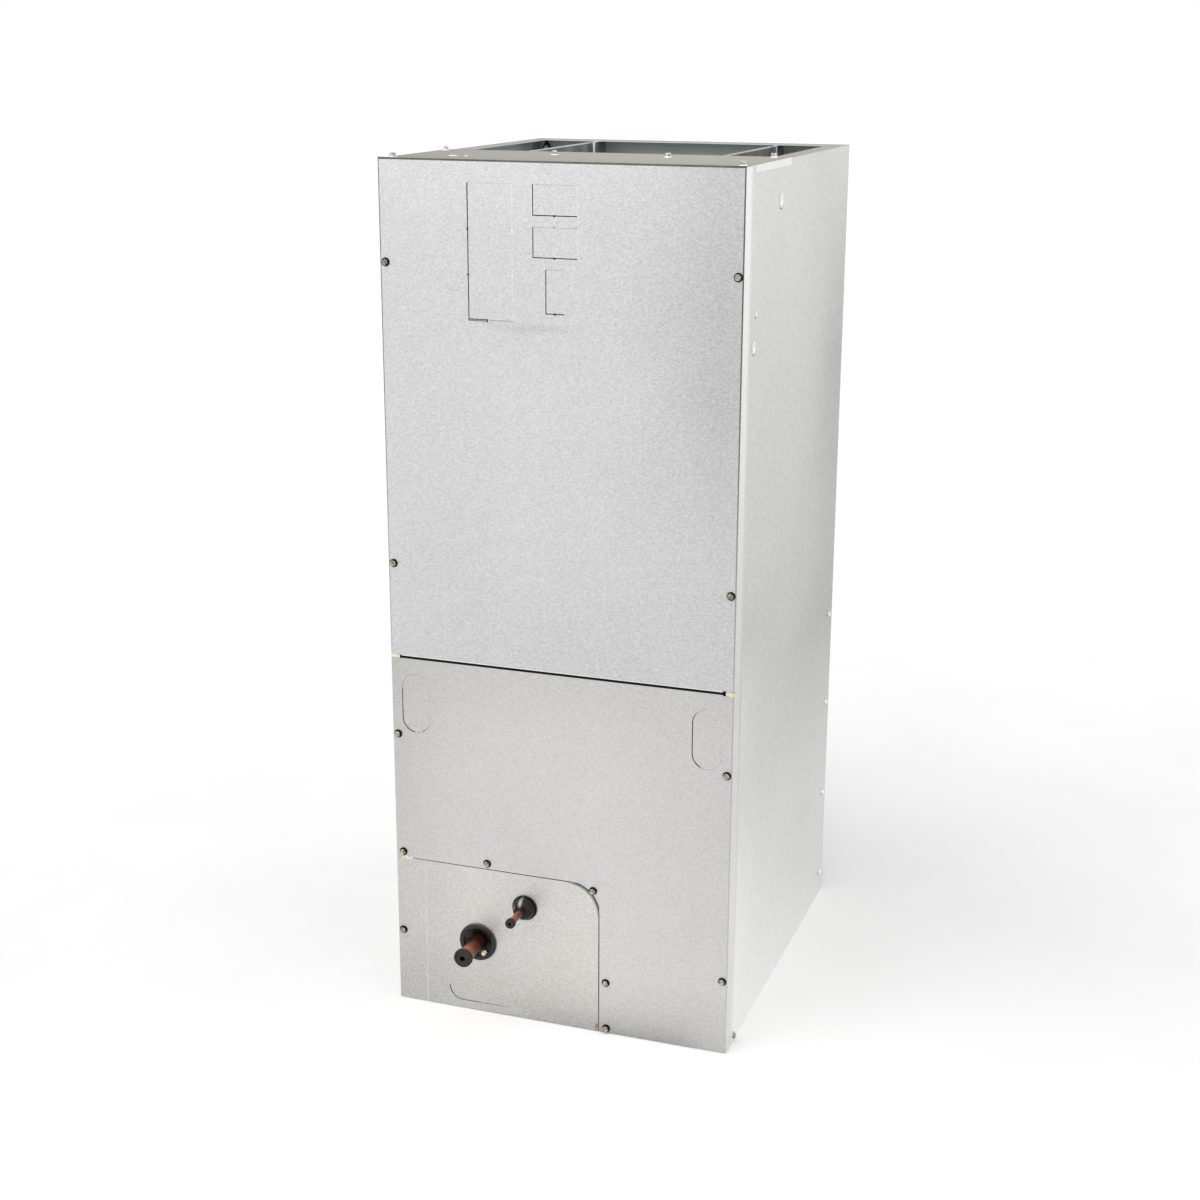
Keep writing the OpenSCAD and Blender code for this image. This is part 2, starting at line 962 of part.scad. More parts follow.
module pan_outline(inset) {
    translate([0, (pan_front + pan_back) / 2])
    rounded(2 * (pan_x - inset), pan_back - pan_front - 2 * inset, pan_r - inset);
}

module return_outline(grow) {
    depth = pan_back - pan_front - 2 * trough;
    translate([0, (pan_front + pan_back) / 2])
    rounded(return_w + 2 * grow, depth + 2 * grow, pan_r + grow);
}

// The drain pan: a moulded tray with a wall round the return opening
module drain_pan() {
    color(black)
    translate([0, 0, sheet]) {
        linear_extrude(pan_wall)
        difference() {
            pan_outline(0);
            return_outline(0);
        }
        linear_extrude(pan_h)
        difference() {
            pan_outline(0);
            pan_outline(pan_wall);
        }
        linear_extrude(pan_h)
        difference() {
            return_outline(pan_wall);
            return_outline(0);
        }
    }
}

module coil_slab() {
    color(fins)
    along_y(coil_front, coil_back)
    polygon([slab_low, slab_low + slab_out, slab_high + slab_out, slab_high]);
}

module left_coil_slab() {
    mirror([1, 0, 0])
    coil_slab();
}

module right_coil_slab() {
    coil_slab();
}

// An end plate closes the space between the slabs and stands on the pan's floor
module coil_plate(y) {
    low = slab_low + slab_out;
    high = slab_high + slab_out;
    color(steel)
    along_y(y, y + sheet)
    polygon([
        [-low[0], foot_z],
        [low[0], foot_z],
        low,
        high,
        [-high[0], high[1]],
        [-low[0], low[1]],
    ]);
}

module coil_front_plate() {
    coil_plate(coil_front - sheet);
}

module coil_back_plate() {
    coil_plate(coil_back);
}

// The cap lies in the valley between the slabs' upper ends
module coil_cap() {
    high = slab_high + slab_out;
    valley = [0, slab_high[1] - coil_gap * tan(lean)];
    color(steel)
    along_y(coil_front, coil_back)
    polygon(fold([[-high[0], high[1]], valley, high], sheet));
}

left_side_panel();
right_side_panel();
back_panel();
base_frame();
middle_rail();
seam_gasket();
blower_access_panel();
coil_access_panel();
pipe_plate();
top_front_plate();
suction_grommet();
liquid_grommet();
suction_stub();
liquid_stub();
suction_cap();
liquid_cap();
blower_deck();
left_collar_plate();
right_collar_plate();
front_collar_plate();
corner_clip();
scroll_wrap();
scroll_left_plate();
scroll_right_plate();
left_inlet_ring();
right_inlet_ring();
wheel_blades();
wheel_rings();
wheel_disc();
blower_motor();
motor_mount();
drain_pan();
left_coil_slab();
right_coil_slab();
coil_front_plate();
coil_back_plate();
coil_cap();
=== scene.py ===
# %% [markdown]
# # An air handling unit in galvanised sheet
#
# The unit is an upright cabinet that stands on its return opening: a coil fills its lower part, a blower its upper
# part, and the top is open for the supply duct. The measured solids come from the frame. This lesson gives them their
# finishes and adds what is too small for the solids: screws, foam, domes, the fins of the coil, and painted highlights
# and shade along edges and cuts.

# %% Load the frame and keep its box
import math

import bmesh
import bpy
from mathutils import Matrix, Vector


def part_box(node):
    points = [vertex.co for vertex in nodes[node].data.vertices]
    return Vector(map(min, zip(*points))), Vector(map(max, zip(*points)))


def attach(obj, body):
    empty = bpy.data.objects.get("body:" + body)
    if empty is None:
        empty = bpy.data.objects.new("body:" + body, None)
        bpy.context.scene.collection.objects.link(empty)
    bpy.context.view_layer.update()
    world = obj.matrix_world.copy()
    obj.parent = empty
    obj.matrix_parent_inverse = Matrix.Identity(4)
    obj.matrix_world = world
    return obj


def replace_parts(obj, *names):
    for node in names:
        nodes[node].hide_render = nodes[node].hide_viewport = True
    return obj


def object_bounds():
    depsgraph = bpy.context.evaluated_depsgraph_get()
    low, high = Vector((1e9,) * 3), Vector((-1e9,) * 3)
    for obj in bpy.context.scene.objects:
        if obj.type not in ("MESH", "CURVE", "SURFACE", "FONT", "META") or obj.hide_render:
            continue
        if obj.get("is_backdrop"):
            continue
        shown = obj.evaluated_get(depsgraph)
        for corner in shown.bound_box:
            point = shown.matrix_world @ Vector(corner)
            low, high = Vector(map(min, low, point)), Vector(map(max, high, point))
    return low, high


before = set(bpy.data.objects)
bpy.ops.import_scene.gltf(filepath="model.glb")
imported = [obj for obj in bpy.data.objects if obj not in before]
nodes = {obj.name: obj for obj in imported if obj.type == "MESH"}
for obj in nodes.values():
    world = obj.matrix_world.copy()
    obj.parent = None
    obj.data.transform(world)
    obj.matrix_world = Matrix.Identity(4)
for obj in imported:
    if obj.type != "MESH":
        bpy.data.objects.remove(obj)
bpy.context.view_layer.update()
MM = 0.001

# %% [markdown]
# ## Where things are
#
# Most later places are counted from a few planes of the cabinet, and those are read from the solids, so that the
# dressing follows them: the face of the front panels, the back, the two sides and the top plate.

# %% Reference planes of the cabinet
panel_low, panel_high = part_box("blower_access_panel")
FRONT = panel_low.y
SHEET = panel_high.y - panel_low.y
RIGHT = panel_high.x
TOP = panel_high.z
SEAM = (panel_low.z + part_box("coil_access_panel")[1].z) / 2
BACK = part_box("back_panel")[1].y
SIDE_FACE = RIGHT - SHEET
PLATE_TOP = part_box("top_front_plate")[1].z
planes = {"front": FRONT, "back": BACK, "seam": SEAM, "sheet": SHEET}
print("in mm:", {name: round(value / MM, 1) for name, value in planes.items()})

# %% [markdown]
# ## Finishes
#
# Galvanised sheet is steel under a skin of zinc. The zinc freezes in small flakes, the spangle, which catch the light
# a little differently from each other. One way is to paint that pattern as an image, but it would blur on a close
# view. Here a cell texture gives every flake its own tone and roughness, a fine noise gives the grain inside the
# flakes, and a slow noise gives the clouds that a large sheet shows.

# %% Colours and the material helper
def srgb(r, g, b):
    """A colour as a screen shows it, from 0 to 255, made linear for the shader."""
    def linear(v):
        v = v / 255
        return v / 12.92 if v <= 0.04045 else ((v + 0.055) / 1.055) ** 2.4
    return (linear(r), linear(g), linear(b), 1.0)


class Finish:
    """A material with one shader, and short calls for the textures that feed it."""

    def __init__(self, name, metallic, roughness):
        self.material = bpy.data.materials.new(name)
        self.material.use_nodes = True
        self.tree = self.material.node_tree
        self.shader = self.tree.nodes["Principled BSDF"]
        self.shader.inputs["Metallic"].default_value = metallic
        self.shader.inputs["Roughness"].default_value = roughness
        coordinates = self.node("ShaderNodeTexCoord")
        self.place = coordinates.outputs["Object"]
        self.normal = coordinates.outputs["Normal"]

    def node(self, kind, **settings):
        made = self.tree.nodes.new(kind)
        for key, value in settings.items():
            setattr(made, key, value)
        return made

    def link(self, source, target):
        self.tree.links.new(source, target)

    def vector(self, operation, first, second):
        """Vector maths between a socket and three numbers."""
        made = self.node("ShaderNodeVectorMath", operation=operation)
        self.link(first, made.inputs[0])
        made.inputs[1].default_value = second
        return made.outputs["Vector"]

    def math(self, operation, first, second):
        made = self.node("ShaderNodeMath", operation=operation)
        for socket, value in zip(made.inputs, (first, second)):
            if isinstance(value, float):
                socket.default_value = value
            else:
                self.link(value, socket)
        return made.outputs["Value"]

    def span(self, value, low, high, start=0.0, end=1.0):
        """Maps a value that runs from start to end onto low to high."""
        made = self.node("ShaderNodeMapRange")
        made.inputs["From Min"].default_value = start
        made.inputs["From Max"].default_value = end
        made.inputs["To Min"].default_value = low
        made.inputs["To Max"].default_value = high
        self.link(value, made.inputs["Value"])
        return made.outputs["Result"]

    def noise(self, scale, detail=2.0, place=None):
        made = self.node("ShaderNodeTexNoise")
        made.inputs["Scale"].default_value = scale
        made.inputs["Detail"].default_value = detail
        self.link(place or self.place, made.inputs["Vector"])
        return made.outputs["Fac"]

    def cells(self, scale):
        made = self.node("ShaderNodeTexVoronoi")
        made.inputs["Scale"].default_value = scale
        self.link(self.place, made.inputs["Vector"])
        grey = self.node("ShaderNodeRGBToBW")
        self.link(made.outputs["Color"], grey.inputs["Color"])
        return grey.outputs["Val"]

    def part(self, vector, axis):
        split = self.node("ShaderNodeSeparateXYZ")
        self.link(vector, split.inputs["Vector"])
        return split.outputs[axis]

    def along(self, axis, stops):
        """A value that follows one axis through stops of (mm, value), with values from -1 to 1."""
        start, end = stops[0][0], stops[-1][0]
        ramp = self.node("ShaderNodeValToRGB")
        self.link(self.span(self.part(self.place, axis), 0.0, 1.0, start * MM, end * MM), ramp.inputs["Fac"])
        points = ramp.color_ramp.elements
        while len(points) < len(stops):
            points.new(1.0)
        for point, (place, value) in zip(points, stops):
            grey = 0.5 + value / 2
            point.position = (place - start) / (end - start)
            point.color = (grey, grey, grey, 1.0)
        return self.span(ramp.outputs["Color"], -1.0, 1.0)

    def patch(self, middle, half, value):
        """A soft spot of a value round a middle, with its half sizes in mm."""
        moved = self.vector("SUBTRACT", self.place, tuple(m * MM for m in middle))
        shrunk = self.vector("MULTIPLY", moved, tuple(1 / (h * MM) for h in half))
        far = self.node("ShaderNodeVectorMath", operation="LENGTH")
        self.link(shrunk, far.inputs[0])
        return self.span(far.outputs["Value"], value, 0.0)

    def looks(self, axis, way):
        """1 on the faces that look along an axis, and 0 on the others."""
        return self.span(self.part(self.normal, axis), 0.0, 1.0, 0.4 * way, 0.6 * way)

    def blend(self, factor, first, second):
        made = self.node("ShaderNodeMix", data_type="RGBA")
        self.link(factor, made.inputs["Factor"])
        for socket, value in ((made.inputs["A"], first), (made.inputs["B"], second)):
            if isinstance(value, tuple):
                socket.default_value = value
            else:
                self.link(value, socket)
        return made.outputs["Result"]

    def colour(self, value):
        self.link(value, self.shader.inputs["Base Color"])

    def rough(self, value):
        self.link(value, self.shader.inputs["Roughness"])

    def bump(self, height, depth_mm):
        made = self.node("ShaderNodeBump")
        made.inputs["Strength"].default_value = 1.0
        made.inputs["Distance"].default_value = depth_mm * MM
        self.link(height, made.inputs["Height"])
        self.link(made.outputs["Normal"], self.shader.inputs["Normal"])


print("a screen's middle grey is", round(srgb(128, 128, 128)[0], 3), "to the shader")

# %% [markdown]
# ### Galvanised sheet
#
# All the sheet is the same stock, but it doesn't look the same everywhere. The front panels show their spangle. The
# side panels are smoother, with a bright band along the front edge that is a painted highlight and painted shade half
# way up. What looks up takes a warm taupe as painted reflection, and the inside is bluish, with upright streaks that
# are painted reflections of what it mirrors. One function makes the zinc skin: a tone, the slow changes of that tone
# along an axis or round a spot, which paint light and shade, and other tones for the faces that look some other way,
# which paint highlight and shade by how each face meets the light. The top plate is seen at a flat angle, where the
# shine hides the base colour, so its shine has a tint too.

# %% Numbers of the zinc
FLAKES = 460
FLAKE_SHARE = 0.6
FLAKE_DEPTH_MM = 0.01
GRAIN = (290, 290, 500)
CLOUD = 5
REACH = 0.5
# The scale of the upright streaks of painted reflection inside.
MIRRORED_STREAKS = (30, 30, 2.5)
METALLIC = 0.8
INNER_METALLIC = 0.15
# The taupes paint the reflection on faces that look up, and the inside tone is bluish. The bright tone paints
# highlights on edges that face the light, and the lit tone paints the light that falls in from the top.
TAUPE = srgb(166, 163, 155)
FLANGE_TAUPE = srgb(146, 143, 134)
INSIDE = srgb(206, 215, 212)
PAINTED_HIGHLIGHT = srgb(251, 251, 250)
LIT = srgb(244, 251, 249)
print("a flake is about", round(1 / FLAKES / MM, 1), "mm wide")

# %% The zinc skin inside
def scaled(colour, share):
    return tuple(v * share for v in colour[:3]) + (1.0,)


def inner_skin(finish, flakes, tone=INSIDE, lit=None):
    """The colour inside: upright streaks of painted reflection, and a slope of painted light falling in from the top.
    """
    streaks = finish.noise(1.0, 2.0, finish.vector("MULTIPLY", finish.place, MIRRORED_STREAKS))
    mixed = finish.math("ADD", finish.span(streaks, -0.2, 1.0, 0.3, 0.7), finish.span(flakes, -0.12, 0.12))
    skin = finish.blend(mixed, scaled(tone, 0.65), scaled(tone, 1.2))
    return finish.blend(finish.along(*lit), skin, LIT) if lit else skin


def inner_zinc(name, tone, roughness):
    """A sheet that shows only inside."""
    finish = Finish(name, INNER_METALLIC, roughness)
    flakes = finish.cells(FLAKES)
    finish.colour(inner_skin(finish, flakes, tone))
    finish.bump(flakes, FLAKE_DEPTH_MM)
    return finish


# The inside parts take the inner skin with its painted reflection, and the collar plates the inside tone darkened as
# painted shade.
COLLAR_SHADE = 0.4
inner_sheet = inner_zinc("inner_sheet", INSIDE, 0.45)
collar_shade_sheet = inner_zinc("collar_shade_sheet", scaled(INSIDE, COLLAR_SHADE), 0.5)
print("inner finishes:", inner_sheet.material.name, collar_shade_sheet.material.name)

# %% The zinc skin outside
# Slopes, bands and patches paint light and shade into the tone. The tones for faces that look other ways paint
# highlight, shade and reflection, and the inside takes the inner skin.
def zinc(name, tone, slopes=(), bands=(), patches=(), faces=(), inside=(), speckle=0.08, grains=GRAIN, cloud=0.03,
         roughness=(0.34, 0.5)):
    """A zinc skin with painted light and shade. A band is a slope that counts only where a second one lets it."""
    finish = Finish(name, METALLIC, sum(roughness) / 2)
    flakes = finish.cells(FLAKES)
    grain = finish.noise(1.0, 2.0, finish.vector("MULTIPLY", finish.place, grains))
    spark = finish.span(flakes, -speckle * FLAKE_SHARE, speckle * FLAKE_SHARE)
    change = finish.math("ADD", spark, finish.span(grain, -speckle, speckle, 0.3, 0.7))
    change = finish.math("ADD", change, finish.span(finish.noise(CLOUD, 3.0), -cloud, cloud, 0.25, 0.75))
    for axis, stops in slopes:
        change = finish.math("ADD", change, finish.along(axis, stops))
    for first, second in bands:
        change = finish.math("ADD", change, finish.math("MULTIPLY", finish.along(*first), finish.along(*second)))
    for middle, half, value in patches:
        change = finish.math("ADD", change, finish.patch(middle, half, value))
    factor = finish.span(change, 0.0, 1.0, -REACH, REACH)
    skin = finish.blend(factor, scaled(tone, 1 - REACH), scaled(tone, 1 + REACH))
    for axis, way, other in faces:
        skin = finish.blend(finish.looks(axis, way), skin, finish.blend(flakes, scaled(other, 0.9), other))
    for axis, way, lit in inside:
        within = finish.looks(axis, way)
        skin = finish.blend(within, skin, inner_skin(finish, flakes, lit=lit))
        finish.link(finish.span(within, METALLIC, INNER_METALLIC), finish.shader.inputs["Metallic"])
    finish.colour(skin)
    finish.rough(finish.span(flakes, *roughness))
    finish.bump(flakes, FLAKE_DEPTH_MM)
    return finish


print("a sheet's tone may change by", REACH, "of itself")

# %% The front panels
# The slopes and bands of the front panels paint light and shade, and the patch below the knockouts paints the shade of
# a shallow dent.
upper_sheet = zinc(
    "upper_sheet", srgb(201, 201, 201),
    slopes=(
        ("Z", ((500, -0.05), (560, -0.03), (650, -0.01), (850, 0.02), (960, 0.0), (1060, 0.02), (1144, 0.07))),
        ("X", ((-235, 0.03), (-30, 0.02), (60, 0.0), (150, -0.05), (205, -0.10), (235, -0.10))),
    ),
    bands=((
        ("X", ((-235, 0.0), (90, 0.0), (205, 1.0), (235, 1.0))),
        ("Z", ((500, 0.07), (600, 0.05), (700, 0.01), (850, -0.09), (1144, -0.08))),
    ),),
    patches=(((-35, -275, 943), (80, 50, 9), -0.13),), speckle=0.106,
)
lower_sheet = zinc(
    "lower_sheet", srgb(201, 200, 198),
    slopes=(
        ("Z", ((0, -0.16), (30, -0.1), (90, 0.0), (350, 0.0), (430, -0.03), (500, -0.08))),
        ("X", ((-235, -0.10), (-150, -0.01), (60, 0.02), (150, -0.01), (235, -0.05))),
    ),
    bands=((
        ("X", ((-235, 1.0), (140, 1.0), (170, 0.9), (205, 0.25), (235, 0.0))),
        ("Z", ((0, -0.25), (7, -0.2), (16, -0.14), (28, -0.07), (45, -0.02), (60, 0.0), (500, 0.0))),
    ),),
    speckle=0.08,
)
pipe_sheet = zinc(
    "pipe_sheet", srgb(202, 201, 197),
    slopes=(
        ("Z", ((0, -0.18), (30, -0.11), (65, -0.04), (110, 0.02), (212, 0.03))),
        ("X", ((-235, -0.12), (-175, -0.08), (-125, 0.0), (57, 0.01))),
    ),
    bands=((
        ("X", ((-235, -0.5), (-150, -0.4), (-110, 0.0), (-60, 0.2), (-20, 0.8), (57, 1.0))),
        ("Z", ((0, -0.16), (16, -0.11), (28, -0.06), (45, -0.02), (60, 0.0), (213, 0.0))),
    ),),
    speckle=0.105,
)

print("front finishes:", [sheet.material.name for sheet in (upper_sheet, lower_sheet, pipe_sheet)])

# %% The right side panel
# The side's slopes paint light and shade: brighter near the floor, duller half way up and darker towards the back. The
# lit band paints the highlight along the front edge, and the fore and rear bands paint light and shade near each edge.
# Faces that look up take the taupe of painted reflection, and the inside takes the inner skin.
SIDE_Z = (
    (0, 0.36), (30, 0.33), (80, 0.27), (150, 0.19), (250, 0.07), (350, -0.09), (470, -0.24), (560, -0.20),
    (650, -0.15), (750, -0.12), (850, -0.09), (960, -0.04), (1060, 0.0), (1144, 0.03),
)
SIDE_Y = ((-238, 0.05), (-125, 0.04), (25, 0.01), (125, -0.05), (175, -0.09), (245, -0.12), (275, -0.13))
LIT_BAND_Y = ("Y", ((-275, 1.0), (-253, 1.0), (-247, 0.3), (-241, 0.15), (-238, 0.0), (275, 0.0)))
LIT_BAND_Z = ("Z", (
    (0, -0.26), (100, -0.12), (200, 0.06), (350, 0.16), (470, 0.2), (560, 0.18), (650, 0.17), (850, 0.28), (1060, 0.31),
    (1144, 0.29),
))
FORE_Y = ("Y", ((-275, 0.0), (-241, 0.0), (-238, 1.0), (-190, 0.7), (-125, 0.3), (25, 0.0), (275, 0.0)))
FORE_Z = ("Z", (
    (0, 0.0), (80, 0.06), (150, 0.17), (250, 0.17), (350, 0.13), (470, 0.22), (560, 0.0), (700, 0.0), (1144, 0.0),
))
REAR_Y = ("Y", ((-275, 0.0), (100, 0.0), (200, 0.8), (245, 1.0), (275, 1.0)))
REAR_Z = ("Z", (
    (0, 0.04), (30, 0.04), (250, 0.03), (560, 0.03), (700, -0.05), (850, -0.13), (960, -0.06), (1144, 0.13),
))
SIDE_GRAIN = (200, 65, 300)
SIDE_TONE = srgb(206, 206, 204)
FLANGE_TOP = ("Z", 1, FLANGE_TAUPE)
right_sheet = zinc(
    "right_sheet", SIDE_TONE, slopes=(("Z", SIDE_Z), ("Y", SIDE_Y)),
    bands=((LIT_BAND_Y, LIT_BAND_Z), (FORE_Y, FORE_Z), (REAR_Y, REAR_Z)), faces=(FLANGE_TOP,), inside=(("X", -1, None),),
    speckle=0.062, grains=SIDE_GRAIN,
)
print("the side's tone follows", len(SIDE_Z), "stops upward and", len(SIDE_Y), "to the back")

# %% The other sheets
# The slope of the hidden sheets paints light and shade, and the two falls paint the light that comes in from the top on
# their inner faces.
HIDDEN_Z = ((0, -0.1), (60, -0.05), (150, 0.0), (500, -0.05), (850, -0.02), (1144, 0.03))
HIDDEN_LOOK = {"slopes": (("Z", HIDDEN_Z),), "faces": (FLANGE_TOP,), "speckle": 0.09}
FALL_Y = ("Y", ((-275, 1.0), (150, 1.0), (185, 0.7), (215, 0.1), (275, 0.0)))
left_sheet = zinc("left_sheet", SIDE_TONE, inside=(("X", 1, FALL_Y),), **HIDDEN_LOOK)
FALL_Z = ("Z", ((700, 0.1), (1090, 0.25), (1120, 0.45), (1134, 0.85), (1144, 0.9)))
back_sheet = zinc("back_sheet", SIDE_TONE, inside=(("Y", -1, FALL_Z),), **HIDDEN_LOOK)
# The top plate's slopes paint shade towards its left and its front. Its right lip and front edge take the painted
# highlight, and its left lip the side's tone.
TOP_TINT = srgb(222, 219, 211)
top_sheet = zinc(
    "top_sheet", TAUPE,
    slopes=(
        ("X", ((-235, -0.24), (-190, -0.16), (-100, -0.09), (0, -0.03), (100, 0.02), (160, 0.0), (235, -0.05))),
        ("Y", ((-275, -0.16), (-250, -0.1), (-215, 0.0), (-155, 0.05), (-63, 0.02))),
    ),
    faces=(("X", 1, PAINTED_HIGHLIGHT), ("X", -1, SIDE_TONE), ("Y", -1, PAINTED_HIGHLIGHT)), speckle=0.03,
)
top_sheet.shader.inputs["Specular Tint"].default_value = TOP_TINT
foot_sheet = zinc("foot_sheet", srgb(200, 200, 198))
print("zinc finishes:", len(bpy.data.materials))

# %% [markdown]
# ### Copper, rubber, foam and the small metals
#
# The copper is brown in bands, and its tone changes along the stubs, lighter towards their ends. The rubber of the
# grommets is matte, the domed grommet carries painted highlights, and the caps on the stubs are a softer, smoother
# rubber. Most of these need only two tones, a roughness that varies with them and a fine bump. Edges and marks that
# take painted highlights, and cuts, gaps and holes that take painted shade, have tones of their own.

# %% The mottled finish
PATCH_SPAN = (0.3, 0.7)
FINER = 12


def worn(name, metallic, roughness, scale, depth_mm=0.02, gloss=0.5):
    """A finish with patches of other roughness and a fine bump, and the patches for its colour."""
    finish = Finish(name, metallic, sum(roughness) / 2)
    finish.shader.inputs["Specular IOR Level"].default_value = gloss
    patches = finish.noise(scale, 4.0)
    finish.rough(finish.span(patches, *roughness, *PATCH_SPAN))
    finish.bump(finish.noise(scale * FINER, 2.0), depth_mm)
    return finish, patches


def mottled(name, dark, light, *look, **more):
    """The worn finish in two tones."""
    finish, patches = worn(name, *look, **more)
    finish.colour(finish.blend(finish.span(patches, 0.0, 1.0, *PATCH_SPAN), dark, light))
    return finish


print("the bump is", FINER, "times finer than the patches")

# %% Copper and rubber
before = len(bpy.data.materials)
COPPER_BANDS = (20, 260, 20)
copper, _ = worn("copper", 0.9, (0.26, 0.45), 60)
tone_along_stub = copper.along("Y", ((-330, 1.0), (-318, 0.9), (-308, 0.2), (-285, -0.6), (-230, -0.8)))
across = copper.noise(1.0, 3.0, copper.vector("MULTIPLY", copper.place, COPPER_BANDS))
bands = copper.span(across, -0.8, 0.8, *PATCH_SPAN)
tan = copper.span(copper.math("ADD", tone_along_stub, bands), 0.0, 1.0, -1.0, 1.0)
copper.colour(copper.blend(tan, srgb(96, 50, 36), srgb(170, 104, 80)))
rubber = mottled("rubber", srgb(28, 27, 26), srgb(42, 40, 39), 0.0, (0.2, 0.35), 90, gloss=0.35)
dome_rubber, _ = worn("dome_rubber", 0.0, (0.2, 0.35), 90, gloss=0.2)
# Two painted highlights on the domed grommet, pale over its near black.
wide_dome_highlight = dome_rubber.patch((-50, -287, 177), (3.6, 16, 8), 1.0)
small_dome_highlight = dome_rubber.patch((-58, -282, 169), (1.8, 12, 4.5), 0.8)
dome_highlights = dome_rubber.math("ADD", wide_dome_highlight, small_dome_highlight)
dome_rubber.colour(dome_rubber.blend(dome_highlights, srgb(27, 25, 23), srgb(190, 190, 188)))
cap_rubber = mottled("cap_rubber", srgb(36, 35, 35), srgb(50, 48, 48), 0.0, (0.45, 0.65), 120, gloss=0.2)
print("copper and rubber finishes:", len(bpy.data.materials) - before)

# %% Foam, small metals and edges
foam = mottled("foam", srgb(16, 16, 16), srgb(28, 28, 28), 0.0, (0.85, 0.95), 700, 0.2, gloss=0.1)
cream_foam = mottled("cream_foam", srgb(194, 188, 146), srgb(238, 235, 208), 0.0, (0.7, 0.9), 300, 0.1)
# The screws' own tone is a dark olive. The darker screw finish paints shade on their washers and the lighter one light
# on their heads; the pale and the glinting finishes paint highlights on the side and top screws.
screw_dark_shaded = mottled("screw_dark_shaded", srgb(14, 13, 9), srgb(46, 43, 33), 0.9, (0.3, 0.5), 350)
screw_lit = mottled("screw_lit", srgb(70, 67, 54), srgb(196, 191, 172), 0.9, (0.2, 0.4), 350)
lit_pale_zinc = mottled("lit_pale_zinc", srgb(150, 148, 142), srgb(222, 221, 216), 0.9, (0.25, 0.4), 350)
screw_glinting = mottled("screw_glinting", srgb(58, 56, 50), srgb(250, 249, 245), 0.7, (0.2, 0.35), 420)
brass = mottled("brass", srgb(196, 172, 110), srgb(250, 243, 212), 0.6, (0.2, 0.35), 260)
# Near black that paints the shade in the caps' holes.
hole_shade = mottled("hole_shade", srgb(3, 3, 3), srgb(8, 8, 8), 0.0, (0.8, 0.9), 300, gloss=0.0)
black_plastic = mottled("black_plastic", srgb(24, 24, 25), srgb(40, 40, 41), 0.0, (0.4, 0.55), 500, 0.05)
motor_paint = mottled("motor_paint", srgb(52, 54, 56), srgb(72, 74, 76), 0.3, (0.4, 0.55), 200)
fin_metal = mottled("fin_metal", srgb(176, 180, 182), srgb(206, 210, 212), 0.9, (0.3, 0.45), 40)
# Tones of painted light and shade: the brown paints the shade of the gap above the upper panel, the whites and the dome
# and crease tones paint highlights, the dark cut tone paints shade in the cuts, and the grey paints shade in thin cuts
# and slots and at the plate's bent corner, where the bent edge shows too. The tab's brown is its own colour.
edge_shade_brown = mottled("edge_shade_brown", srgb(84, 81, 73), srgb(112, 108, 100), 0.6, (0.4, 0.55), 60)
tab_brown = mottled("tab_brown", srgb(110, 96, 76), srgb(172, 158, 132), 0.6, (0.35, 0.5), 300)
highlight_white = mottled("highlight_white", srgb(232, 232, 230), srgb(246, 246, 245), 0.3, (0.3, 0.4), 60)
dome_lit_zinc = mottled("dome_lit_zinc", srgb(208, 208, 206), srgb(240, 240, 239), 0.4, (0.25, 0.4), 120)
highlight_line = mottled("highlight_line", srgb(250, 250, 249), srgb(254, 254, 254), 0.0, (0.3, 0.4), 60)
crease_lit_zinc = mottled("crease_lit_zinc", srgb(204, 203, 200), srgb(216, 215, 212), 0.5, (0.35, 0.45), 60)
cut_shade = mottled("cut_shade", srgb(52, 51, 48), srgb(74, 72, 68), 0.2, (0.5, 0.7), 200)
edge_and_shade_grey = mottled("edge_and_shade_grey", srgb(120, 118, 112), srgb(168, 166, 160), 0.8, (0.3, 0.45), 30)
print("finishes in all:", len(bpy.data.materials))

# %% [markdown]
# ### Dress the solids
#
# A solid whose shape is already right only needs its finish. The lists say which solid takes which.

# %% Give every solid its finish
DRESS = {
    upper_sheet: ("blower_access_panel",),
    lower_sheet: ("coil_access_panel",),
    pipe_sheet: ("pipe_plate",),
    left_sheet: ("left_side_panel",),
    right_sheet: ("right_side_panel",),
    back_sheet: ("back_panel",),
    top_sheet: ("top_front_plate",),
    foot_sheet: ("base_frame",),
    inner_sheet: (
        "middle_rail", "blower_deck", "front_collar_plate", "scroll_wrap", "scroll_left_plate", "scroll_right_plate",
        "left_inlet_ring", "right_inlet_ring", "wheel_blades", "wheel_rings", "wheel_disc", "motor_mount",
        "coil_front_plate", "coil_back_plate", "coil_cap",
    ),
    collar_shade_sheet: ("left_collar_plate", "right_collar_plate"),
    foam: ("seam_gasket",),
    rubber: ("suction_grommet",),
    dome_rubber: ("liquid_grommet",),
    cap_rubber: ("suction_cap", "liquid_cap"),
    copper: ("suction_stub", "liquid_stub"),
    black_plastic: ("corner_clip", "drain_pan"),
    motor_paint: ("blower_motor",),
    fin_metal: ("left_coil_slab", "right_coil_slab"),
}


def dress(piece, finish):
    piece.data.materials.clear()
    piece.data.materials.append(finish.material)


for finish, names in DRESS.items():
    for name in names:
        dress(nodes[name], finish)
print("dressed:", sum(len(names) for names in DRESS.values()), "of", len(nodes))

# %% [markdown]
# ## Small pieces
#
# Each small piece is a mesh built from rings or bars of points. A helper turns the finished mesh into an object that
# moves with the cabinet and takes the finishes it is given. Its faces can have two looks, and the rings say from
# which one on the second counts.

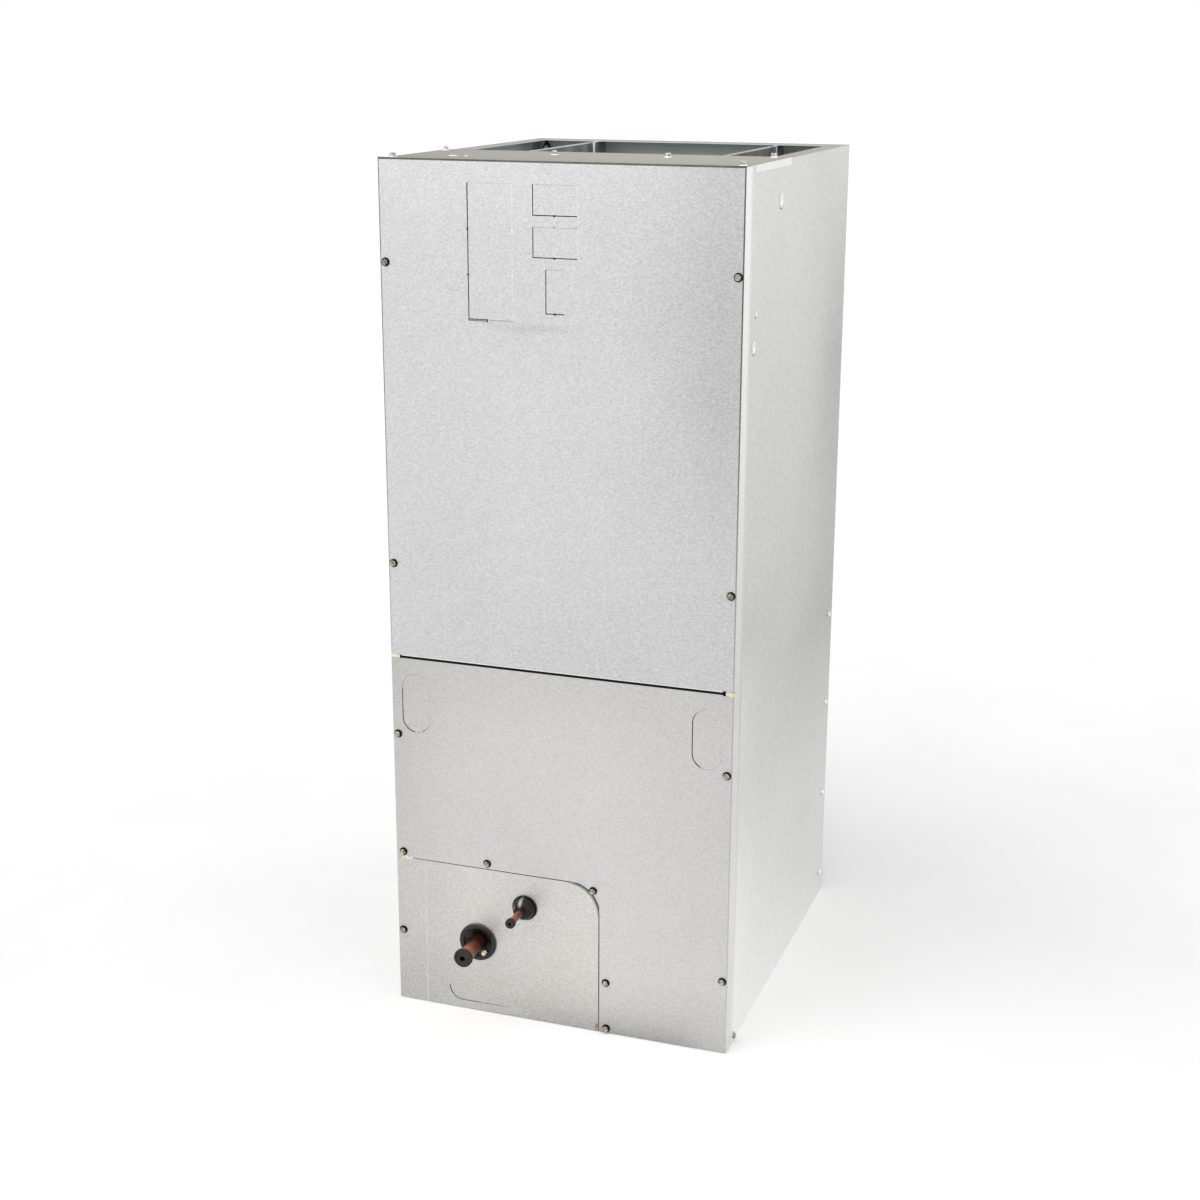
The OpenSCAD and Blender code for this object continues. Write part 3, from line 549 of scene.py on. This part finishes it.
# %% Helpers for meshes
def piece_from(name, mesh, slot, *finishes):
    data = bpy.data.meshes.new(name)
    for finish in finishes:
        data.materials.append(finish.material)
    mesh.normal_update()
    mesh.to_mesh(data)
    mesh.free()
    made = bpy.data.objects.new(name, data)
    bpy.context.scene.collection.objects.link(made)
    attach(made, "root")
    print(name, "faces:", len(data.polygons))
    return made


def circle(radius, height, steps):
    turns = (2 * math.pi * i / steps for i in range(steps))
    return [(radius * math.cos(a), radius * math.sin(a), height) for a in turns]


def add_rings(mesh, rings, place, finish_from=None):
    """Skins a stack of rings, closes both ends, and gives the faces from one ring upward the second finish."""
    made = [[mesh.verts.new(place @ Vector(p)) for p in ring] for ring in rings]
    count = len(rings[0])
    second = len(rings) if finish_from is None else finish_from
    for level, (low, high) in enumerate(zip(made, made[1:])):
        for i in range(count):
            j = (i + 1) % count
            mesh.faces.new((low[i], low[j], high[j], high[i])).material_index = int(level >= second)
    mesh.faces.new(made[0][::-1])
    mesh.faces.new(made[-1]).material_index = int(second < len(rings))


def add_bar(mesh, low, high, bevel):
    """A bar between two corners, with its edges rounded."""
    middle = (Vector(low) + Vector(high)) / 2
    size = Vector(high) - Vector(low)
    cube = bmesh.ops.create_cube(mesh, size=1.0, matrix=Matrix.Translation(middle) @ Matrix.Diagonal((*size, 1)))
    edges = {e for v in cube["verts"] for e in v.link_edges}
    bmesh.ops.bevel(mesh, geom=list(edges), offset=bevel, segments=2, affect="EDGES")


def facing(x, y, z, direction):
    """A place whose own +Z points along a direction, for things that stand on a face."""
    turn = Vector(direction).to_track_quat("Z", "Y").to_matrix().to_4x4()
    return Matrix.Translation((x, y, z)) @ turn


OUT_OF_FRONT = (0, -1, 0)
UP = (0, 0, 1)
print("a ring of 6 starts at", [round(v, 2) for v in circle(1, 0, 6)[0]])

# %% [markdown]
# ### Screws
#
# The panels are held by self-drilling screws: a six-sided head on a round washer, pressed in one piece, with a shallow
# dish in its top. A head is a stack of rings whose radius follows a hexagon where the head is and a circle where the
# washer is, so one loop makes the whole shape. All screws of one side are joined in one mesh.

# %% The screw's head
HEAD_STEPS = 24
WASHER_R = 5.7 * MM
FLAT_R = 3.75 * MM
HEAD_H = 3.4 * MM
HEAD_FROM = 3
TOP_FROM = 4
TWIST = 0.7


def hexagon(flat_radius, height):
    """A ring with as many points as the circle, each moved out to the side of a hexagon."""
    half_side = math.pi / 6
    ring = []
    for x, y, z in circle(flat_radius, height, HEAD_STEPS):
        turn = math.atan2(y, x)
        grow = 1 / math.cos((turn + half_side) % (2 * half_side) - half_side)
        ring.append((x * grow, y * grow, z))
    return ring


SCREW = [
    circle(WASHER_R, 0.0, HEAD_STEPS),
    circle(WASHER_R, 0.4 * MM, HEAD_STEPS),
    circle(WASHER_R * 0.88, 0.9 * MM, HEAD_STEPS),
    hexagon(FLAT_R * 1.04, 0.95 * MM),
    hexagon(FLAT_R, HEAD_H * 0.86),
    circle(FLAT_R * 0.9, HEAD_H, HEAD_STEPS),
    circle(FLAT_R * 0.66, HEAD_H * 0.97, HEAD_STEPS),
    circle(FLAT_R * 0.45, HEAD_H * 0.84, HEAD_STEPS),
]


def screws(name, places, washer, head, head_from=HEAD_FROM):
    mesh = bmesh.new()
    for number, place in enumerate(places):
        add_rings(mesh, SCREW, place @ Matrix.Rotation(number * TWIST, 4, "Z"), head_from)
    return piece_from(name, mesh, "galvanised_sheet", washer, head)


print("a screw has", len(SCREW), "rings of", HEAD_STEPS, "points")

# %% Screws on the front
EDGE = 7 * MM
FRONT_ROWS = (1016, 627, 391, 104)
PLATE_SCREWS = ((-225, 221), (-102, 221), (49, 205), (67, 74), (68, 7))
PROUD = Matrix.Diagonal((1, 1, 1.2, 1))
front_spots = [(side * (RIGHT - EDGE), z * MM) for z in FRONT_ROWS for side in (-1, 1)]
front_spots += [(x * MM, z * MM) for x, z in PLATE_SCREWS]
front_places = [facing(x, FRONT, z, OUT_OF_FRONT) @ PROUD for x, z in front_spots]
# Washers take the darker finish as painted shade and heads the lighter one as painted light.
screws("front_screws", front_places, screw_dark_shaded, screw_lit, TOP_FROM)

# %% Screws on the sides and the top
REAR_ROWS = (458, 319, 172, 39)
REAR_SET = 25 * MM
FOOT_BACK = 37 * MM
FOOT_Z = 8 * MM
for side, label in ((1, "right"), (-1, "left")):
    rear = [facing(side * SIDE_FACE, BACK - REAR_SET, z * MM, (side, 0, 0)) for z in REAR_ROWS]
    # The rear side screws are drawn pale and white as painted highlights.
    screws(label + "_screws", rear, lit_pale_zinc, highlight_white)
    foot = facing(side * SIDE_FACE, FRONT + FOOT_BACK, FOOT_Z, (side, 0, 0))
    # The foot screw's washer and head take painted shade and light, as on the front.
    screws(label + "_foot_screw", [foot], screw_dark_shaded, screw_lit)

TOP_SCREWS = ((-225, 22), (225, 22), (-224, 182), (218, 190), (-55, 140), (94, 145))
TALL = Matrix.Diagonal((0.9, 0.9, 1.7, 1))
top_places = [facing(x * MM, FRONT + back * MM, PLATE_TOP, UP) @ TALL for x, back in TOP_SCREWS]
# Top screws take white washers and glinting heads as painted highlights.
screws("top_screws", top_places, highlight_white, screw_glinting)

# %% [markdown]
# ### Knockouts and marks
#
# The side knockouts were pressed a little out of the sheet when they were sheared, so each shows as a low dome, drawn a
# little lighter than the sheet as a painted highlight, with a painted white glint on its lower half. The top plate has
# two such marks, painted white as highlights. A dome is a stack of circles that follows a flat curve, and a glint is a
# smaller dome set on the first one.

# %% Domes on the sides and the top plate
DOME_STEPS = 32
DOME_CURVE = ((1.0, 0.0), (0.97, 0.35), (0.85, 0.72), (0.6, 0.93), (0.25, 1.0))
SIDE_DOMES = ((170, 1093, 9.6), (62, 966, 4.6), (55, 926, 8.6))
TOP_DOMES = ((-168, 78, 5.8), (-150, 78, 2.8))
DOME_H = 0.8 * MM
GLINT_H = 0.48 * MM
GLINT_SET = 0.38
GLINT_R = 0.5


def add_dome(mesh, place, radius, height, finish_from=None):
    add_rings(mesh, [circle(radius * r, height * h, DOME_STEPS) for r, h in DOME_CURVE], place, finish_from)


mesh = bmesh.new()
for side in (1, -1):
    out = (side, 0, 0)
    for back, z, radius in SIDE_DOMES:
        y = FRONT + back * MM
        add_dome(mesh, facing(side * SIDE_FACE, y, z * MM, out), radius * MM, DOME_H)
        lower = facing(side * (SIDE_FACE + GLINT_H), y, (z - GLINT_SET * radius) * MM, out)
        add_dome(mesh, lower, radius * GLINT_R * MM, GLINT_H, 0)
piece_from("side_domes", mesh, "galvanised_sheet", dome_lit_zinc, highlight_line)
mesh = bmesh.new()
for x, back, radius in TOP_DOMES:
    add_dome(mesh, facing(x * MM, FRONT + back * MM, PLATE_TOP, UP), radius * MM, DOME_H)
piece_from("top_domes", mesh, "galvanised_sheet", highlight_white)

# %% [markdown]
# ### Edges, foam and the crease
#
# A dark brown line along the upper panel's top edge paints the shade of the gap under the top plate. Strips of foam
# close the ends of the seam, with a dark knob beside each, and a painted highlight runs along the panel's lower lip at
# the seam. A bit of foam shows at the pipe plate's corner, and the plate has a sharp crease near the cabinet's edge,
# drawn a little lighter as a painted highlight. All are thin bars with rounded edges, set so that they stand less than
# a millimetre proud.

# %% Bars and the upper panel's edge
def one_bar(name, low, high, bevel, slot, finish):
    mesh = bmesh.new()
    add_bar(mesh, low, high, bevel)
    return piece_from(name, mesh, slot, finish)


def bars(name, boxes, slot, finish, bevel=0.25 * MM):
    """Bars on the front, each from (x, z) to (x, z) in mm, this proud of it and reaching half into the sheet."""
    mesh = bmesh.new()
    for x0, z0, x1, z1, proud in boxes:
        add_bar(mesh, (x0 * MM, FRONT - proud * MM, z0 * MM), (x1 * MM, FRONT + SHEET / 2, z1 * MM), bevel)
    return piece_from(name, mesh, slot, finish)


# The brown bar paints the shade of the gap between the upper panel's top edge and the top plate.
EDGE_H = 2.8 * MM
EDGE_PROUD = 0.15 * MM
EDGE_BEHIND = 0.1 * MM
edge_low = (-RIGHT, FRONT - EDGE_PROUD, TOP - EDGE_H)
edge_high = (RIGHT, FRONT + SHEET + EDGE_BEHIND, TOP)
one_bar("panel_edge", edge_low, edge_high, 0.2 * MM, "galvanised_sheet", edge_shade_brown)

# %% Foam, lip and knobs of the seam
edge = RIGHT / MM
seam = SEAM / MM
END_FOAM = (
    (-edge - 0.2, seam - 2.4, -222, seam + 2.4, 0.4), (-231, seam - 3.0, -225, seam + 2.9, 0.35),
    (224, seam - 2.6, edge + 0.3, seam + 2.6, 0.4), (227, seam - 3.4, 233, seam + 2.9, 0.35),
)
# A white bar paints the highlight on the upper panel's lower lip.
SEAM_HIGHLIGHT = ((-220, seam + 1.5, 220, seam + 2.3, 0.05),)
KNOBS = ((220.2, seam - 3.2, 224.6, seam + 3.2, 0.7), (-223, seam - 2.6, -220.5, seam + 2.6, 0.6))
FOLD_BACK = 8 * MM
bars("seam_foam", END_FOAM, "black_foam", cream_foam, 0.5 * MM)
fold_low = (RIGHT - 0.2 * MM, FRONT - 0.3 * MM, SEAM - 2 * MM)
fold_high = (RIGHT + 0.6 * MM, FRONT + FOLD_BACK, SEAM + 2.4 * MM)
one_bar("seam_foam_fold", fold_low, fold_high, 0.25 * MM, "black_foam", cream_foam)
bars("seam_highlight", SEAM_HIGHLIGHT, "galvanised_sheet", highlight_white, 0.05 * MM)
bars("seam_knobs", KNOBS, "black_foam", foam, 0.7 * MM)

# %% Foam, tab and crease of the pipe plate
bars("plate_foam", ((-228, 211, -212, 214.5, 0.35),), "black_foam", cream_foam, 0.8 * MM)
bars("plate_tab", ((52.2, 1.5, 57.2, 11.5, 0.5),), "galvanised_sheet", tab_brown)
# The crease is drawn a little lighter than the plate as a painted highlight.
bars("plate_crease", ((-193.5, 3, -192.5, 209, 0.1),), "galvanised_sheet", crease_lit_zinc, 0.08 * MM)

# %% [markdown]
# ### Painted shade and highlights in the cuts
#
# Where the sheet was sheared, the cut shows as a dark line of painted shade along the pipe plate, down the left of the
# tall knockout and round the left grip. Elsewhere the knockouts show only faint cuts, with painted shade above and a
# painted highlight at the right, and where a cut of the solids is wider than the real one, a thin fill closes it. A
# ribbon follows a path of points, and its width may change on the way, as at the plate's corner, where the bent edge
# shows as a crescent, grey with painted shade.

# %% Ribbons and bows
def ribbon(mesh, path, widths, proud):
    """A flat bar along a path of (x, z) in mm, centred on it, with a width for each point."""
    spots = [Vector(p) for p in path]
    rings = []
    for i, (spot, width) in enumerate(zip(spots, widths)):
        way = (spots[min(i + 1, len(spots) - 1)] - spots[max(i - 1, 0)]).normalized()
        aside = Vector((-way.y, way.x)) * width / 2
        left, right = (spot + aside) * MM, (spot - aside) * MM
        near, far = FRONT - proud * MM, FRONT + SHEET / 2
        corners = ((left, near), (right, near), (right, far), (left, far))
        rings.append([(side.x, y, side.y) for side, y in corners])
    add_rings(mesh, rings, Matrix.Identity(4))


def bow(x, z, radius, start, end, steps=10):
    """Points on an arc, with angles in degrees from +X towards +Z."""
    turns = (math.radians(start + (end - start) * i / steps) for i in range(steps + 1))
    return [(x + radius * math.cos(a), z + radius * math.sin(a)) for a in turns]


print("a quarter bow has", len(bow(0, 0, 1, 90, 0)), "points")

# %% Dark cuts and the bent corner
PLATE_R = 41
PLATE_HIGH = 212.5
PLATE_RIGHT = 57
CUT_OUT = 0.3
RIM_IN = 1.6
RIM_STEPS = 16
GRIP_X = -201
GRIP_R = 19.6
TALL_LEFT = -116.1
arc_x, arc_z = PLATE_RIGHT - PLATE_R, PLATE_HIGH - PLATE_R
cut_x, cut_z = PLATE_RIGHT + CUT_OUT, PLATE_HIGH + CUT_OUT
corner = bow(arc_x, arc_z, PLATE_R + CUT_OUT, 90, 0)
cut = [(-212, cut_z), (-90, cut_z)] + corner + [(cut_x, 80), (cut_x, 10)]
# Dark ribbons of painted shade along the pipe plate's cut, round the left grip and down the tall knockout.
mesh = bmesh.new()
ribbon(mesh, cut, [0.9, 1.2] + [1.4] * len(corner) + [1.6, 1.3], 0.05)
grip = bow(GRIP_X, 416, GRIP_R, 165, 180, 3) + bow(GRIP_X, 415.5, GRIP_R, 180, 262)
ribbon(mesh, [(GRIP_X - GRIP_R, 456)] + grip, [0.4] + [1.1] * (len(grip) - 1) + [0.3], 0.04)
ribbon(mesh, [(TALL_LEFT, z) for z in (1116, 1100, 950)], [1.7, 1.5, 1.2], 0.05)
piece_from("shaded_cut_lines", mesh, "galvanised_sheet", cut_shade)
# A grey crescent at the plate's corner, where the bent edge shows with painted shade.
mesh = bmesh.new()
rim = bow(arc_x, arc_z, PLATE_R - RIM_IN, 96, -6, RIM_STEPS)
ribbon(mesh, rim, [0.3 + 2.6 * math.sin(math.pi * i / RIM_STEPS) for i in range(RIM_STEPS + 1)], 0.06)
piece_from("bent_corner", mesh, "galvanised_sheet", edge_and_shade_grey)

# %% Faint cuts at the upper right of the knockouts
# Each is the left, right, upper and lower edge of a knockout, then the widths of its shaded and its lit cut.
FAINT_CUTS = (
    (-116.5, -57.5, 1116, 950, 0.2, 0.25), (-31, 27, 1116, 1079, 0.28, 0.4),
    (-31, 27, 1065.5, 1028.5, 0.37, 0.35), (-14.5, 10.5, 1015, 961, 0.46, 0.15),
)
FAINT_PROUD = 0.03
# The shaded cuts are painted shade and the lit cuts painted highlights.
shaded, lit = bmesh.new(), bmesh.new()
for left, right, high, low, shade_w, light_w in FAINT_CUTS:
    ribbon(shaded, [(left, high), (right, high)], [shade_w] * 2, FAINT_PROUD)
    ribbon(lit, [(right, high), (right, low)], [light_w] * 2, FAINT_PROUD)
grip_top = bow(GRIP_X, 457, 20, 150, 0) + [(-181, 416)]
ribbon(shaded, grip_top, [0.2] * len(grip_top), FAINT_PROUD)
piece_from("shaded_cuts", shaded, "galvanised_sheet", edge_and_shade_grey)
piece_from("lit_cuts", lit, "galvanised_sheet", highlight_white)

# %% Thin fills where a cut nearly closes
FILL_PROUD = 0.02
DRAIN_Z = 31
DRAIN_LOW = 12.2
left_bow = bow(-141, DRAIN_Z, 18.6, 175, 80)
right_bow = bow(-79, DRAIN_Z, DRAIN_Z - DRAIN_LOW, 270, 330)
mesh = bmesh.new()
ribbon(mesh, left_bow, [1.6] * len(left_bow), FILL_PROUD)
ribbon(mesh, [(-118, DRAIN_LOW), (-79, DRAIN_LOW)] + right_bow, [0.4, 0.9] + [1.2] * len(right_bow), FILL_PROUD)
piece_from("drain_fill", mesh, "galvanised_sheet", pipe_sheet)
mesh = bmesh.new()
ribbon(mesh, [(-87, 950.9), (-57.5, 950.9)], [0.9, 0.9], FILL_PROUD)
piece_from("breaker_fill", mesh, "galvanised_sheet", upper_sheet)

# %% Nicks and tabs of the knockouts
# A nick is its x, its z and its radius in mm.
TAB_ROWS = (1060.7, 1005.3)
NICKS = [(-116.4, z, 1.5) for z in TAB_ROWS] + [(-3, z, 0.9) for z in (1078.5, 1066, 1028, 960.5)]
NICKS += [(-91.5, 948.6, 1.3)]
NICK_H = 0.2 * MM
TAB_HIGHLIGHT_H = 0.3 * MM
# The nicks are dark dots of painted shade.
mesh = bmesh.new()
for x, z, radius in NICKS:
    add_dome(mesh, facing(x * MM, FRONT, z * MM, OUT_OF_FRONT), radius * MM, NICK_H)
piece_from("nicks", mesh, "galvanised_sheet", cut_shade)
# White dots on the tabs are painted highlights.
mesh = bmesh.new()
for z in TAB_ROWS:
    add_dome(mesh, facing(-57.8 * MM, FRONT, z * MM, OUT_OF_FRONT), 1.2 * MM, TAB_HIGHLIGHT_H)
piece_from("tab_highlights", mesh, "galvanised_sheet", highlight_white)
# A grey bar in the slot under the tall knockout shows the pry tab with painted shade.
tab_low, tab_high = (-116 * MM, FRONT + 0.3 * MM, 948.4 * MM), (-92.2 * MM, FRONT + SHEET, 950.4 * MM)
one_bar("pry_tab_shade", tab_low, tab_high, 0.1 * MM, "galvanised_sheet", edge_and_shade_grey)

# %% Gaps beside the panels
# Dark bars that paint the shade in the gaps beside the panels, darker towards the top, with some noise.
gap_shade = Finish("gap_shade", 0.2, 0.6)
depth = gap_shade.along("Z", ((60, -1.0), (300, -0.8), (500, -0.45), (640, -0.1), (800, 0.7), (1000, 1.0)))
shade_noise = gap_shade.span(gap_shade.noise(300), -0.2, 0.2)
shade = gap_shade.span(gap_shade.math("ADD", depth, shade_noise), 0.0, 1.0, -1.0, 1.0)
gap_shade.colour(gap_shade.blend(shade, srgb(180, 179, 176), srgb(84, 83, 80)))
GAP_PROUD = 0.05
gap_low, gap_high = seam + 4, TOP / MM - 3
GAPS = (
    (edge - 1.9, gap_low, edge - 0.2, gap_high, GAP_PROUD), (edge - 1.7, 60, edge - 0.2, seam - 4, GAP_PROUD),
    (-edge + 0.2, gap_low, -edge + 1.2, gap_high, GAP_PROUD),
)
bars("panel_gaps", GAPS, "galvanised_sheet", gap_shade, 0.02 * MM)

# %% [markdown]
# ### Bright edges of the supply collar
#
# The collar plates' upper edges catch the light from above, and so do the edges of the narrow flanges that stiffen
# them. They are drawn as thin white lines of painted highlight in the dark opening, and the flanges take the collar's
# painted shade.

# %% Collar edges and wings
WING = 8 * MM
WING_Y = 0.205
LINE_W = {"left_collar_plate": 3.0 * MM, "right_collar_plate": 0.9 * MM}
LIP_SIDE = 0.2 * MM
LIP_DOWN = 1.5 * MM
LIP_UP = 0.3 * MM
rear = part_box("top_front_plate")[1].y
lines, wings = bmesh.new(), bmesh.new()
for name, line_w in LINE_W.items():
    low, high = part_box(name)
    inner = high.x + WING - line_w
    lip_low = (high.x - SHEET - LIP_SIDE, rear, high.z - LIP_DOWN)
    add_bar(lines, lip_low, (high.x + LIP_SIDE, high.y, high.z + LIP_UP), 0.2 * MM)
    add_bar(lines, (inner, WING_Y - SHEET, low.z), (high.x + WING, WING_Y, high.z), 0.3 * MM)
    add_bar(wings, (high.x, WING_Y - SHEET, low.z), (inner, WING_Y, high.z), 0.1 * MM)
piece_from("collar_edge_highlights", lines, "galvanised_sheet", highlight_line)
piece_from("collar_wings", wings, "galvanised_sheet", collar_shade_sheet)

# %% The clip's screw
# The clip's screw is painted white as a highlight.
CLIP_SHARE = 0.45
SMALL = Matrix.Diagonal((0.6, 0.6, 1, 1))
low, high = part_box("corner_clip")
clip_place = facing((low.x + high.x) / 2, low.y, low.z + CLIP_SHARE * (high.z - low.z), OUT_OF_FRONT)
screws("clip_screw", [clip_place @ SMALL], highlight_line, highlight_line)

# %% [markdown]
# ### Plug in the suction grommet and holes in the caps
#
# A small brass plug sits beside the suction stub, in the grommet's dish. It is the same ring stack as a screw. The
# holes in the caps are low black domes that paint the shade in them.

# %% Brass plug
PLUG_X, PLUG_Z = 8.5 * MM, -16 * MM
PLUG_DEEP = 3.5 * MM
PLUG_SIZE = Matrix.Diagonal((0.75, 0.75, 1, 1))
low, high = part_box("suction_grommet")
plug_x, plug_z = (low.x + high.x) / 2 + PLUG_X, (low.z + high.z) / 2 + PLUG_Z
mesh = bmesh.new()
add_rings(mesh, SCREW, facing(plug_x, low.y + PLUG_DEEP, plug_z, OUT_OF_FRONT) @ PLUG_SIZE, HEAD_FROM)
piece_from("grommet_plug", mesh, "copper", brass, brass)

# %% Holes in the caps
# Black domes of painted shade in the caps' holes.
CAP_HOLES = (("suction_cap", 4.0 * MM, 1.25 * MM), ("liquid_cap", 2.4 * MM, 0.1 * MM))
HOLE_H = 0.15 * MM
mesh = bmesh.new()
for name, radius, depth in CAP_HOLES:
    low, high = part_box(name)
    middle = (low + high) / 2
    add_dome(mesh, facing(middle.x, low.y + depth, middle.z, OUT_OF_FRONT), radius, HOLE_H)
piece_from("cap_holes", mesh, "black_rubber", hole_shade)

# %% [markdown]
# ### Coil
#
# A coil slab is a pack of thin aluminium fins on copper tubes. As a solid it is a plain leaning block, so its four
# corners are read from that block and fins are set between them at their real pitch. The tubes run through the fins in
# two staggered rows.

# %% Fin packs in place of the slabs
FIN_PITCH = 3.0 * MM
FIN_T = 0.25 * MM
TUBE_R = 4.75 * MM
TUBE_STEPS = 16
TUBE_ROWS = 2
TUBES = 12
ROW_START = 0.3
ROW_SHIFT = 0.4


def slab_corners(name):
    """The block's section: its low and high corner on the inner face, then on the outer face, as (x, z)."""
    spots = {(round(v.co.x, 5), round(v.co.z, 5)) for v in nodes[name].data.vertices}
    by_height = sorted(spots, key=lambda s: s[1])
    by_reach = sorted(spots, key=lambda s: abs(s[0]))
    return [Vector(s) for s in (by_height[0], by_reach[0], by_reach[-1], by_height[-1])]


for name in ("left_coil_slab", "right_coil_slab"):
    low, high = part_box(name)
    inner_low, inner_high, outer_low, outer_high = slab_corners(name)
    mesh = bmesh.new()
    count = int((high.y - low.y) / FIN_PITCH)
    for i in range(count):
        y = low.y + (i + 0.5) * (high.y - low.y) / count
        section = (inner_low, inner_high, outer_high, outer_low)
        sheets = [[(c.x, y + t, c.y) for c in section] for t in (-FIN_T / 2, FIN_T / 2)]
        add_rings(mesh, sheets, Matrix.Identity(4))
    across = (outer_low - inner_low) / TUBE_ROWS
    up = (inner_high - inner_low) / TUBES
    for row in range(TUBE_ROWS):
        for i in range(TUBES):
            middle = inner_low + across * (row + 0.5) + up * (i + ROW_START + ROW_SHIFT * row)
            place = facing(middle.x, high.y, middle.y, OUT_OF_FRONT)
            add_rings(mesh, [circle(TUBE_R, h, TUBE_STEPS) for h in (0.0, high.y - low.y)], place, 0)
    bmesh.ops.recalc_face_normals(mesh, faces=mesh.faces)
    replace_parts(piece_from(name + "_fins", mesh, "coil_fins", fin_metal, copper), name)

# %% [markdown]
# ## Stage
#
# The unit stands on a plain pale floor under soft light. The world is white to the camera and to what mirrors it, and
# weaker for the light that it sheds, so the lamps set the shadows.

# %% Floor
FLOOR_HALF = 60.0
mesh = bmesh.new()
bmesh.ops.create_grid(mesh, x_segments=8, y_segments=8, size=FLOOR_HALF)
data = bpy.data.meshes.new("floor")
mesh.to_mesh(data)
mesh.free()
floor = bpy.data.objects.new("floor", data)
bpy.context.scene.collection.objects.link(floor)
dress(floor, mottled("floor_paint", srgb(246, 246, 246), srgb(250, 250, 250), 0.0, (0.8, 0.9), 3))
floor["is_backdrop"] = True
print("floor half side in m:", FLOOR_HALF)

# %% World
SHED = 0.55
SEEN = 1.0
world = bpy.data.worlds.new("studio")
bpy.context.scene.world = world
world.use_nodes = True
tree = world.node_tree
tree.nodes.clear()
shed = tree.nodes.new("ShaderNodeBackground")
shed.inputs["Strength"].default_value = SHED
seen = tree.nodes.new("ShaderNodeBackground")
seen.inputs["Strength"].default_value = SEEN
for background in (shed, seen):
    background.inputs["Color"].default_value = (1, 1, 1, 1)
path = tree.nodes.new("ShaderNodeLightPath")
either = path.outputs["Is Camera Ray"]
for ray in ("Is Glossy Ray", "Is Transmission Ray"):
    most = tree.nodes.new("ShaderNodeMath")
    most.operation = "MAXIMUM"
    tree.links.new(either, most.inputs[0])
    tree.links.new(path.outputs[ray], most.inputs[1])
    either = most.outputs["Value"]
pick = tree.nodes.new("ShaderNodeMixShader")
tree.links.new(either, pick.inputs["Fac"])
tree.links.new(shed.outputs["Background"], pick.inputs[1])
tree.links.new(seen.outputs["Background"], pick.inputs[2])
out = tree.nodes.new("ShaderNodeOutputWorld")
tree.links.new(pick.outputs["Shader"], out.inputs["Surface"])
print("the world sheds", SHED, "and is seen as", SEEN)

# %% Lamps
def sun(name, azimuth, elevation, strength, spread):
    """A far, wide lamp. Azimuth 0 shines from the front, and 90 from the right."""
    light = bpy.data.lights.new(name, "SUN")
    light.energy = strength
    light.angle = math.radians(spread)
    made = bpy.data.objects.new(name, light)
    a, e = math.radians(azimuth), math.radians(elevation)
    source = Vector((math.sin(a) * math.cos(e), -math.cos(a) * math.cos(e), math.sin(e)))
    made.rotation_mode = "QUATERNION"
    made.rotation_quaternion = (-source).to_track_quat("-Z", "Y")
    bpy.context.scene.collection.objects.link(made)


sun("key", -35, 48, 1.6, 70)
sun("fill", 70, 40, 0.8, 90)

# %% [markdown]
# ## Camera
#
# The camera stands a little above the unit's top, to the right of its front, as the photographer did. Its place and
# angles were solved from the cabinet's corners, and the lens comes from the same fit.

# %% Camera
EYE = Vector((0.8359, -2.4804, 1.2861))
YAW, PITCH, ROLL = (math.radians(a) for a in (-19.446, -16.229, 0.193))
FOCAL_SHARE = 1934 / 1200
camera_data = bpy.data.cameras.new("camera")
camera_data.sensor_width = 36
camera_data.lens = camera_data.sensor_width * FOCAL_SHARE
camera = bpy.data.objects.new("camera", camera_data)
bpy.context.scene.collection.objects.link(camera)
gaze = Vector((math.sin(YAW) * math.cos(PITCH), math.cos(YAW) * math.cos(PITCH), math.sin(PITCH)))
camera.location = EYE
camera.rotation_mode = "QUATERNION"
camera.rotation_quaternion = gaze.to_track_quat("-Z", "Y") @ Matrix.Rotation(ROLL, 3, "Z").to_quaternion()
bpy.context.scene.camera = camera
bpy.context.scene.view_settings.view_transform = "Standard"
print("lens in mm:", round(camera_data.lens, 1))

# %% [markdown]
# ## Close
#
# The last line reads the box of the dressed unit has to stay that of the solids.

# %% The box of the dressed unit
low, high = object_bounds()
